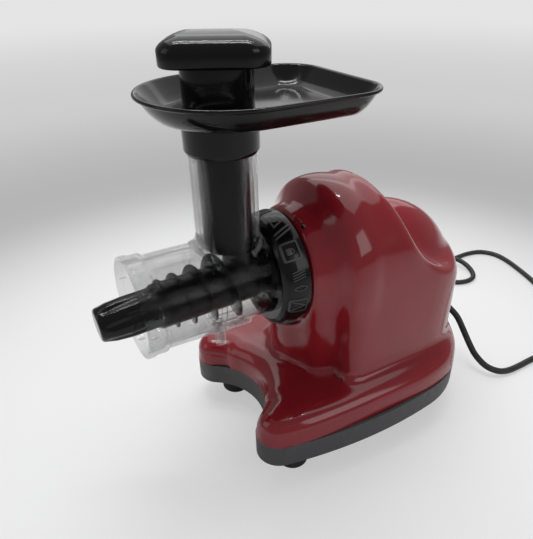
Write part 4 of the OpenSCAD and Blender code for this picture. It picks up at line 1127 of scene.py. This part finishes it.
@dataclass
class Base:
    """The dark band under the housing, with its four rubber feet."""

    housing: Housing
    low_z: float = 24
    wall: float = 2.8
    foot_r: float = 13
    foot_h: float = 14
    feet: tuple[Pair, ...] = ((-55.4, 22), (55.4, 22), (-50, 180), (50, 180))
    foot_nodes: tuple[str, ...] = (
        "foot_front_left", "foot_front_right", "foot_rear_left", "foot_rear_right"
    )

    def outline(self, inset: float) -> list[Pair]:
        """The plan of the base, drawn in by an inset."""
        h = self.housing
        notch = math.degrees(math.atan2(h.tip_y - h.notch_y, h.tip_x))
        tip = math.degrees(math.atan2(h.tip_y - h.widest_y, h.tip_x - h.side_x))
        rear = math.degrees(math.atan2(h.rear_centre_y - h.widest_y, -h.side_x))
        half = [
            *arc((h.tip_x, h.tip_y), h.tip_r - inset, notch - 180, tip, 20),
            *arc((h.side_x, h.widest_y), h.side_r - inset, tip, rear, 20)[1:],
            *arc((0, h.rear_centre_y), h.rear_r - inset, rear, 90, 22)[1:],
        ]
        hollow = arc((0, h.notch_y), h.notch_r + inset, 90, notch, 16)[1:-1]
        right = hollow + half
        return right + [(-x, y) for x, y in right[-2::-1]] + [(0, h.notch_y + h.notch_r + inset)]

    def band(self) -> None:
        """The band's skin round the base tray, with a drawn-in lower edge and a shadow gap on top."""
        levels = [
            (self.wall, SEAM_Z - 0.05), (1.0, SEAM_Z - 0.05), (0.9, SEAM_Z - 0.7), (0.3, SEAM_Z - 1.1),
            (0.02, SEAM_Z - 1.6), (0.02, self.low_z + 5), (0.5, self.low_z + 2.6),
            (1.5, self.low_z + 0.9), (2.9, self.low_z + 0.1), (self.wall + 1, self.low_z + 0.02),
        ]
        outlines = [np.array(self.outline(inset)) for inset, _ in levels]
        count = len(outlines[0])

        def surface(u: np.ndarray, v: np.ndarray) -> np.ndarray:
            """Round the plan with u and down the levels with v."""
            i = place_round(u, count)
            k = place_along(v, len(levels))
            flat = np.array([outlines[b][a] for a, b in zip(i, k)])
            return np.column_stack([flat, [levels[b][1] for b in k]])

        Form().skin(count, len(levels) - 1, surface).piece("base_band", Finish.DARK_SATIN, "base")

    def build(self) -> None:
        """Make the band and the feet."""
        self.band()
        profile = filleted([
            (0, 1.2), (6.5, 1.2, 0.4), (7, 0, 0.4), (11.6, 0, 1), (self.foot_r, 1.8, 1.4),
            (self.foot_r, 9, 0.3), (self.foot_r - 0.7, 9.3, 0.3), (self.foot_r - 0.7, 10.2, 0.3),
            (self.foot_r, 10.5, 0.3), (self.foot_r, self.foot_h), (0, self.foot_h),
        ])
        for (x, y), node in zip(self.feet, self.foot_nodes):
            name = node.replace("foot_", "rubber_foot_")
            form = Form().turned(profile, Matrix.Translation((x, y, 0)), 56)
            form.piece(name, Finish.FOOT_RUBBER, "base", node)


# ---------------------------------------------------------------- drum


@dataclass
class Drum:
    """The clear drum with its chute, saddle, trough and spout."""

    r: float = 35.2
    wall: float = 2.6
    chamber_r: float = 32.4
    rim_r: float = 37.9
    mouth_y: float = -78.5
    shoulder_y: float = -20
    end_y: float = 42.0
    flange: Point = (26.3, 29.7, 36.6)
    hub_hole_r: float = 13.6
    chute_r: float = 23.2
    chute_top: float = 272
    trough_r: float = 36
    trough_half: float = 22
    spout_y: float = -13
    spout_r: float = 4
    spout_low: float = 103.3

    def outside(self) -> Form:
        """The drum's outer shape as one closed solid."""
        m, s, e, (f0, f1, fr) = self.mouth_y, self.shoulder_y, self.end_y, self.flange
        profile = filleted([
            (0, m), (self.rim_r, m, 1.2), (self.rim_r, m + 5.5, 0.7), (37, m + 5.7, 0.4),
            (37, m + 14.5, 1.5), (self.r, m + 17, 1.5), (self.r, s - 3.4, 0.5), (36.2, s - 3, 0.4),
            (36.2, s, 0.8), (self.chamber_r, s + 0.4, 1), (self.chamber_r, f0), (fr, f0, 0.4),
            (fr, f1, 0.4), (self.chamber_r, f1), (self.chamber_r, e, 1), (0, e),
        ], 4)
        form = Form().turned(profile, ON_DRUM_AXIS, 128)
        top = self.chute_top - AXIS_Z
        chute = filleted([(0, 0), (self.chute_r, 0), (self.chute_r, top, 0.8), (0, top)])
        form.cut(Form().turned(chute, Matrix.Translation((0, 0, AXIS_Z)), 96), "UNION")
        return form.cut(self.trough(self.trough_r, self.trough_half, -21, 6, -20, 3), "UNION")

    def trough(self, r: float, half: float, start: float, end: float, top: float, edge: float) -> Form:
        """The trough below the drum: a slab with a round underside and rounded ends."""
        reach = math.degrees(math.asin(half / r))
        outline = [(-half, top), *arc((0, 0), r, 270 - reach, 270 + reach, 24), (half, top)]
        seat = Matrix.Translation((0, 0, AXIS_Z)) @ Matrix(
            ((1, 0, 0, 0), (0, 0, 1, 0), (0, 1, 0, 0), (0, 0, 0, 1))
        )
        return Form().plate(outline, start, end, seat, edge, 4)

    def inside(self) -> Form:
        """The drum's hollow as one closed solid."""
        bell, barrel, chamber = 37 - self.wall, self.r - self.wall, self.chamber_r - self.wall
        m, s = self.mouth_y, self.shoulder_y
        profile = filleted([
            (0, m - 1), (bell + 0.6, m - 1), (bell + 0.6, m + 1.4, 0.5), (bell, m + 2, 0.5),
            (bell, m + 12.4, 1), (barrel, m + 14.9, 1), (barrel, s - 2.6, 1), (chamber, s - 2.2, 1),
            (chamber, self.end_y - 3, 1.5), (self.hub_hole_r, self.end_y - 3),
            (self.hub_hole_r, self.end_y + 5), (0, self.end_y + 5),
        ], 4)
        form = Form().turned(profile, ON_DRUM_AXIS, 128)
        r = self.chute_r - self.wall
        bore = Form().turned([(0, 0), (r, 0), (r, 130), (0, 130)], Matrix.Translation((0, 0, AXIS_Z)), 96)
        form.cut(bore, "UNION")
        return form.cut(self.trough(33.4, 19.4, -18.5, 3.5, -20, 2), "UNION")

    def saddle(self) -> Form:
        """The thick fillet where the chute meets the drum."""
        section = [(22.8, 7.5), (23.4, 7.0), (24.0, 4.0), (25.6, 2.0), (28.2, 0.9), (29.4, 0.3),
                   (29.4, -0.8), (22.8, -0.8)]

        def surface(u: np.ndarray, v: np.ndarray) -> np.ndarray:
            """Round the chute with u and round the fillet's section with v."""
            k = place_round(v, len(section))
            r = np.array([section[i][0] for i in k])
            x, y = r * np.sin(u * FULL_TURN), r * np.cos(u * FULL_TURN)
            step = 1 / (1 + np.exp((y - self.shoulder_y - 1) / 0.8))
            drum = self.chamber_r + (self.r + 0.6 - self.chamber_r) * step
            z = np.sqrt(drum**2 - x**2) + np.array([section[i][1] for i in k])
            return np.column_stack([x, y, AXIS_Z + z])

        return Form().skin(120, len(section), surface)

    def ribs(self) -> Form:
        """Short ribs inside the rim and three long ones on the trough."""
        form = Form()
        for i in range(8):
            rib = Form().box((-0.3, self.mouth_y + 2.6, -0.4), (0.3, self.mouth_y + 7.5, 0.7), 0.15)
            form.plus(rib.wrapped(33.8, 45 * i + 12))
        for turn in (166, 180, 194):
            rib = Form().box((-0.5, -19, -0.4), (0.5, 4, 0.5), 0.25)
            form.plus(rib.wrapped(self.trough_r, turn))
        return form

    def build(self) -> None:
        """Make the clear pieces."""
        moulding = self.outside().cut(self.inside())
        moulding.piece("drum_moulding", Finish.CLEAR, "drum_set", "drum", smooth=28)
        self.saddle().piece("chute_saddle", Finish.CLEAR, "drum_set")
        self.ribs().piece("drum_ribs", Finish.CLEAR, "drum_set")
        low, r = self.spout_low, self.spout_r
        spout = filleted([
            (r - 1.4, low), (r, low + 0.2, 0.3), (r, low + 6, 0.5), (r + 0.7, low + 17, 1),
            (r + 1.6, low + 20, 0.3), (r, low + 22.4), (r - 1.4, low + 22.4),
        ])
        at = Matrix.Translation((0, self.spout_y, 0))
        Form().turned(spout, at, 40).piece("spout_tube", Finish.CLEAR, "drum_set", "juice_spout")


# ---------------------------------------------------------------- locking ring


class Motif(Enum):
    """What stands out on the locking ring, each with its first place in degrees from the top."""

    TRIANGLE = 15
    RIDGES = 27
    LOCK = 48
    SLANTS = 71
    LENS = 84
    PANEL = 104


@dataclass
class LockingRing:
    """The black bayonet ring: a cone that swells to its rear edge, with raised signs round it."""

    r: float = 45.6
    wall: float = 3.4
    bore_r: float = 32.7
    end_y: float = RING_FRONT_Y + 21
    cone: tuple[Pair, ...] = (
        (38.8, 23.5), (41.6, 25.4), (43.2, 27.5), (44.4, 30.5), (45.2, 34.5), (45.6, 39), (45.6, 44.5)
    )
    repeats: int = 3
    sunk: float = 0.8
    lug_turns: tuple[float, ...] = (40, 160, 280)

    def radius(self, y: float) -> float:
        """The ring's outer radius at a place along its axis."""
        return float(np.interp(y, [p[1] for p in self.cone], [p[0] for p in self.cone]))

    def hoop(self) -> Form:
        """The ring's turned shape."""
        inner, start = self.r - self.wall, RING_FRONT_Y
        profile = filleted([
            (self.bore_r, start, 0.4), (self.cone[0][0], start, 0.8),
            *[(r, y, 1.6) for r, y in self.cone[1:-1]], (self.r, self.end_y, 0.6),
            (inner, self.end_y, 0.4), (inner, 30.4, 0.5), (40.6, 28.2, 0.5), (40, 26, 0.4),
            (self.bore_r, 26, 0.3),
        ], 4)
        return Form().turned(profile, ON_DRUM_AXIS, 144)

    def frame(self, half: Pair, mid: float, width: float, height: float) -> Form:
        """A raised frame with rounded corners about a place along the axis."""
        (x, y), low = half, -self.sunk
        out = rounded_box(x, mid - y, mid + y, 2.2)
        x, y = x - width, y - width
        hole = rounded_box(x, mid - y, mid + y, 1.4)
        return Form().plate(out, low, height, edge=0.35).cut(Form().plate(hole, low - 1, height + 1))

    def bar(self, start: Pair, end: Pair, half_w: float, height: float) -> Form:
        """A raised bar whose ends are cut square to the axis."""
        (x0, y0), (x1, y1) = start, end
        corners = [(x0 - half_w, y0), (x0 + half_w, y0), (x1 + half_w, y1), (x1 - half_w, y1)]
        return Form().plate(corners, -self.sunk, height, edge=0.2)

    def sign(self, motif: Motif) -> Form:
        """One sign, flat: x runs round the ring and y along the drum's axis."""
        low, form = -self.sunk, Form()
        if motif is Motif.TRIANGLE:
            outer = Form().plate([(-4.2, 29.5), (4.2, 29.5), (0, 39.5)], low, 0.9, edge=0.3)
            form = outer.cut(Form().plate([(-2.5, 30.6), (2.5, 30.6), (0, 36.6)], low - 1, 2))
        elif motif is Motif.RIDGES:
            for x in (-1.7, 1.7):
                form.plus(self.bar((x + 2.4, 27), (x - 2.4, 41), 0.75, 1.0))
        elif motif is Motif.LOCK:
            form = self.frame((7.5, 7), 33.2, 1.5, 1.15)
            body = rounded_box(2.6, 30, 34, 0.6, 3)
            shackle = arc((0, 34), 2.1, 0, 180, 12) + arc((0, 34), 1.2, 180, 0, 12)
            form.plate(body, low, 0.7, edge=0.25).plate(shackle, low, 0.6, edge=0.2)
        elif motif is Motif.SLANTS:
            for x in (-3, -1, 1, 3):
                form.plus(self.bar((x + 1, 30), (x - 1, 40), 0.4, 0.5))
        elif motif is Motif.LENS:
            lens = arc((-5.6, 35), 7.85, -44.5, 44.5, 14) + arc((5.6, 35), 7.85, 135.5, 224.5, 14)[1:-1]
            hole = arc((-5.6, 35), 7.15, -38.4, 38.4, 14) + arc((5.6, 35), 7.15, 141.6, 218.4, 14)[1:-1]
            form = Form().plate(lens, low, 0.85, edge=0.25).cut(Form().plate(hole, low - 1, 2))
        else:
            form = self.frame((6.6, 7.2), 33.8, 0.9, 0.7)
            for x in (-4.6, 4.6):
                form.plus(self.bar((x, 28), (0, 39.6), 0.5, 0.5))
        return form.sliced(1, range(26, 43, 2)).sliced(0, (-5, -2.5, 0, 2.5, 5))

    def lugs(self) -> Form:
        """The three inner lugs of the bayonet."""
        form = Form()
        for turn in self.lug_turns:
            lug = Form().box((-6.5, 36.2, -1.8), (6.5, 40, 0.8), 0.3)
            form.plus(lug.wrapped(self.r - self.wall, turn))
        return form

    def build(self) -> None:
        """Make the ring, and its signs and lugs."""
        self.hoop().piece("ring_hoop", Finish.BLACK_GLOSS, "ring", "locking_ring")
        relief = self.lugs()
        for i in range(self.repeats):
            for motif in Motif:
                turn = motif.value + 360 / self.repeats * i
                relief.plus(self.sign(motif).wrapped(self.r, turn, self.radius))
        # The signs take a lighter satin grey than the gloss black hoop: a painted highlight for the light
        # on their raised edges. The hidden lugs share the piece.
        relief.piece("ring_relief", Finish.DARK_SATIN, "ring")


# ---------------------------------------------------------------- auger


@dataclass
class Auger:
    """The black auger: a fluted nose, a core, a growing flight and the rear collar."""

    core_r: float = 17
    nose_r: float = 15.2
    nose_y: float = -62
    nose_len: float = 42
    tip_r: float = 12
    collar_r: float = 24
    collar: Pair = (31, 36)
    flight_r: float = 27
    flutes: int = 7
    flute_depth: float = 1.2
    droop: float = 2.1
    pivot_y: float = 54.5
    steps: int = 32

    def seat(self) -> Matrix:
        """Where the auger hangs: its line droops about a point inside the drive shaft."""
        pivot = Matrix.Translation((0, self.pivot_y, AXIS_Z))
        return pivot @ Matrix.Rotation(math.radians(self.droop), 4, "X") @ Matrix.Translation(
            (0, -self.pivot_y, 0)
        )

    def core(self) -> Form:
        """The turned core, with shallow twisted flutes along the nose."""
        tip = self.nose_y - self.nose_len
        line = filleted([
            (0, tip), (self.tip_r, tip, 3.2), (14.3, tip + 10, 6), (self.nose_r, tip + 20, 8),
            (self.nose_r, self.nose_y - 1.5, 0.8),
            (self.core_r, self.nose_y + 1, 0.8), (self.core_r, self.collar[0] - 4, 2),
            (19, self.collar[0] - 0.2, 0.6), (self.collar_r, self.collar[0], 0.5),
            (self.collar_r, self.collar[1], 0.6), (0, self.collar[1]),
        ], 6, closed=False)
        fine = []
        for (r0, y0), (r1, y1) in zip(line, line[1:]):
            cuts = max(1, round(math.hypot(r1 - r0, y1 - y0) / 2.2))
            fine += [(r0 + (r1 - r0) * k / cuts, y0 + (y1 - y0) * k / cuts) for k in range(cuts)]
        fine.append(line[-1])
        radii, places = np.array(fine).T

        def surface(u: np.ndarray, v: np.ndarray) -> np.ndarray:
            """Round the core with u and along its outline with v."""
            k = place_along(v, len(fine))
            r, y, a = radii[k], places[k], u * FULL_TURN
            on_nose = np.clip((y - tip - 3) / 5, 0, 1) * np.clip((self.nose_y - 3 - y) / 3, 0, 1)
            groove = (0.5 - 0.5 * np.cos(self.flutes * (a + (y - tip) * 0.006))) ** 2.5
            r = r - on_nose * self.flute_depth * groove
            return np.column_stack([r * np.sin(a), y, r * np.cos(a)])

        return Form().skin(self.flutes * 16, len(fine) - 1, surface, self.seat())

    def flight_at(self, y: np.ndarray) -> np.ndarray:
        """The flight's outer radius at a place along the auger."""
        return np.minimum(self.flight_r, np.maximum(19 + 0.12 * (y + 56), 21.7 + 0.2 * (y + 33)))

    def flight(self) -> Form:
        """The helical flight, with a rounded edge."""
        last, ends = 4.875, 0.33
        section = [(0.0, -2.1), (0.5, -1.3), (0.93, -0.95), (1.0, -0.5), (1.0, 0.5), (0.93, 0.95),
                   (0.5, 1.3), (0.0, 2.1)]

        def surface(u: np.ndarray, v: np.ndarray) -> np.ndarray:
            """Round the section with u and along the helix with v."""
            k = place_round(u, len(section))
            t = v * last
            y = self.nose_y + 3 + 9.5 * t + 1.35 * t**2
            a = FULL_TURN * t + math.radians(200)
            grow = np.minimum(1, np.minimum(t, last - t) / ends)
            root = self.core_r - 1.5
            up = np.array([section[i][0] for i in k])
            r = root + up * (1.5 + grow * (self.flight_at(y) - self.core_r))
            y = y + np.array([section[i][1] for i in k])
            return np.column_stack([r * np.sin(a), y, r * np.cos(a)])

        form = Form().skin(len(section), round(last * self.steps), surface, self.seat())
        loops = [e for e in form.bm.edges if e.is_boundary]
        bmesh.ops.holes_fill(form.bm, edges=loops, sides=0)
        return form

    def build(self) -> None:
        """Make the auger as one piece."""
        self.core().plus(self.flight()).piece("auger_moulding", Finish.BLACK_GLOSS, "auger_set", "auger")


# ---------------------------------------------------------------- tray and pusher


@dataclass
class FeedTray:
    """The tray, round in front and square behind, on its collar."""

    rim_z: float = 298
    low_z: float = 282
    half_w: float = 61
    front_y: float = 8
    rear: Pair = (33, 69)
    rear_r: float = 28
    hole_r: float = 20.6
    wall: float = 2.2
    collar_r: float = 25.75
    collar_low: float = 259
    chute_top: float = 272
    chute_r: float = 23.25

    def outline(self, inset: float) -> np.ndarray:
        """The rim's outline drawn in by an inset, with even points."""
        x, y = self.rear
        points = [
            *arc((0, self.front_y), self.half_w - inset, 180, 360, 90)[:-1],
            *[(self.half_w - inset, self.front_y + (y - self.front_y) * k / 14) for k in range(14)],
            *arc((x, y), self.rear_r - inset, 0, 90, 28)[:-1],
            *[(x - 2 * x * k / 16, y + self.rear_r - inset) for k in range(16)],
            *arc((-x, y), self.rear_r - inset, 90, 180, 28)[:-1],
            *[(inset - self.half_w, y - (y - self.front_y) * k / 14) for k in range(14)],
        ]
        return np.array(points)

    def basin(self) -> Form:
        """The tray's shell, round its closed section from the chute's hole and back."""
        low, rim = self.low_z, self.rim_z
        section = [
            (14.2, low, 0), (13.0, low + 0.4, 0), (10.6, low + 2.4, 0), (7.6, low + 5.6, 0),
            (5.0, low + 9.4, 0), (3.4, low + 12.4, 0), (2.9, low + 13.4, 0), (2.2, low + 13.7, 0),
            (0.6, low + 13.7, 0),
            (0.0, low + 14.3, 0), (0.0, rim - 0.7, 0), (0.6, rim, 0), (1.8, rim, 0), (2.5, rim - 0.6, 0),
            (3.2, rim - 1.4, 0), (6.4, rim - 5.4, 0), (10.2, low + 6.4, 0), (13.6, low + 3.2, 0),
            (15.8, low + 2.3, 0), (17.5, low + 2.2, 0), (17.5, low + 2.2, 0.5), (17.5, low + 2.2, 0.93),
            (17.5, low + 1.9, 1), (17.5, low, 1), (14.2, low, 0.5),
        ]
        outlines = [self.outline(inset) for inset, _, _ in section]
        count = len(outlines[0])

        def surface(u: np.ndarray, v: np.ndarray) -> np.ndarray:
            """Round the rim with u and round the section with v."""
            i = place_round(u, count)
            k = place_round(v, len(section))
            made = np.zeros((len(u), 3))
            for n, (a, b) in enumerate(zip(i, k)):
                x, y = outlines[b][a]
                share = section[b][2]
                far = math.hypot(x, y)
                shrink = 1 + share * (self.hole_r / far - 1)
                made[n] = (x * shrink, y * shrink, section[b][1])
            return made

        return Form().skin(count, len(section), surface)

    def collar(self) -> Form:
        """The sleeve below the tray that slips over the chute."""
        r, low, top = self.collar_r, self.collar_low, self.low_z - 0.02
        profile = filleted([
            (self.chute_r, low, 0.5), (r - 1.4, low, 1.2), (r - 0.1, low + 2.6, 1.5), (r, top - 2.2, 1),
            (r + 2.4, top), (self.hole_r, top), (self.hole_r, self.chute_top),
            (self.chute_r, self.chute_top),
        ], 4)
        return Form().turned(profile, steps=96)

    def build(self) -> None:
        """Make the tray and its collar."""
        self.basin().piece("tray_basin", Finish.BLACK_GLOSS, "tray_set", "feed_tray", smooth=50)
        self.collar().piece("tray_sleeve", Finish.BLACK_GLOSS, "tray_set", "tray_collar")


@dataclass
class Pusher:
    """The pusher's cap, sleeve and hollow shaft."""

    cap_z: Pair = (312.5, 331.5)
    crown: float = 2.6
    half_w: float = 24.5
    half_len: float = 34
    corner_r: float = 15
    turn: float = -30
    sleeve: Point = (23.1, 284.24, 312.48)
    shaft: Point = (17.8, 189, 312.48)

    def cap(self) -> Form:
        """A rounded block with a soft top edge and a faint crown."""
        low, high = self.cap_z
        levels = [(9.0, low), (1.2, low + 0.02), (0.3, low + 0.5), (0.0, low + 1.4), (0.0, high - 10),
                  (0.25, high - 8.4), (0.9, high - 7.0), (2.2, high - 5.2), (4.3, high - 3.5),
                  (7.4, high - 2.2), (11, high - 1.1), (15, high - 0.45), (19.5, high - 0.1), (24.2, high)]
        outlines = []
        for inset, _ in levels:
            w, h, r = self.half_w - inset, self.half_len - inset, max(self.corner_r - inset, 0.05)
            outline: list[Pair] = []
            for x, y, start in ((1, -1, -90), (1, 1, 0), (-1, 1, 90), (-1, -1, 180)):
                outline += arc((x * (w - r), y * (h - r)), r, start, start + 90, 14)
            outlines.append(outline)
        count = len(outlines[0])

        def surface(u: np.ndarray, v: np.ndarray) -> np.ndarray:
            """Round the cap with u and up its levels with v."""
            i = place_round(u, count)
            k = place_along(v, len(levels))
            flat = np.array([outlines[b][a] for a, b in zip(i, k)])
            z = np.array([levels[b][1] for b in k])
            fall = self.crown * (flat[:, 1] / self.half_len) ** 2
            return np.column_stack([flat, z - fall * np.clip((z - high + 10) / 9, 0, 1)])

        seat = Matrix.Rotation(math.radians(self.turn), 4, "Z")
        form = Form().skin(count, len(levels) - 1, surface, seat)
        bmesh.ops.holes_fill(form.bm, edges=[e for e in form.bm.edges if e.is_boundary], sides=0)
        return form

    def build(self) -> None:
        """Make the pusher's three pieces."""
        self.cap().piece("pusher_knob", Finish.BLACK_GLOSS, "pusher_set", "pusher_cap", smooth=40)
        r, low, high = self.sleeve
        sleeve = filleted([(17.9, low, 0.3), (r, low, 0.6), (r, high), (17.9, high)])
        skirt = Form().turned(sleeve, steps=96)
        skirt.piece("pusher_skirt", Finish.BLACK_GLOSS, "pusher_set", "pusher_sleeve")
        r, low, high = self.shaft
        shaft = filleted([
            (0, low), (r, low, 1.2), (r, high), (r - 2.2, high), (r - 2.2, low + 2.5, 1), (0, low + 2.5)
        ])
        form = Form().turned(shaft, steps=96)
        for i in range(6):
            rib = Form().box((-1, -0.4, low + 1.0), (1, 0.35, high - 30), 0.3)
            at = Matrix.Rotation(math.radians(60 * i + 15), 4, "Z") @ Matrix.Translation((0, r - 0.35, 0))
            bmesh.ops.transform(rib.bm, matrix=at, verts=rib.bm.verts)
            form.plus(rib)
        form.piece("pusher_stem", Finish.BLACK_GLOSS, "pusher_set", "pusher_shaft")


# ---------------------------------------------------------------- the rest


@dataclass
class SmallParts:
    """Pieces whose CAD shape is right: they get softer edges, or only their finish."""

    softened: dict[str, tuple[str, Finish, str, float]] = field(default_factory=lambda: {
        "switch_bezel": ("switch_frame", Finish.BLACK_SATIN, "base", 0.6),
        "switch_rocker": ("switch_paddle", Finish.BLACK_GLOSS, "rocker", 0.5),
        "drum_socket": ("drum_seat", Finish.BLACK_SATIN, "base", 0.25),
        "auger_hub": ("auger_drive_end", Finish.STEEL, "auger_set", 0.3),
        "base_screws": ("base_screw_heads", Finish.STEEL, "base", 0.15),
    })

    def build(self) -> None:
        """Make the softened pieces, then finish every other CAD node."""
        for node, (name, finish, body, edge) in self.softened.items():
            Form().node(node).softened(edge).piece(name, finish, body, node)
        by_slot = {f.slot: f for f in Finish}
        slots = {part["node"]: part["material_slot"] for part in frame["record"]["subparts"]}
        for name, made in frame["nodes"].items():
            material = by_slot[slots[name]].material
            for spot in made.material_slots:
                spot.link = "OBJECT"
                spot.material = material


def main() -> None:
    """Build the juicer: the camera and the cord first, then each sub-assembly."""
    logging.basicConfig(level=logging.INFO, format="%(name)s: %(message)s")
    studio = Studio()
    studio.camera()
    MainsCord().build()
    housing = Housing()
    parts = (housing, Base(housing), Drum(), LockingRing(), Auger(), FeedTray(), Pusher(), SmallParts())
    for part in parts:
        part.build()
    studio.build()


if __name__ == "__main__":
    main()
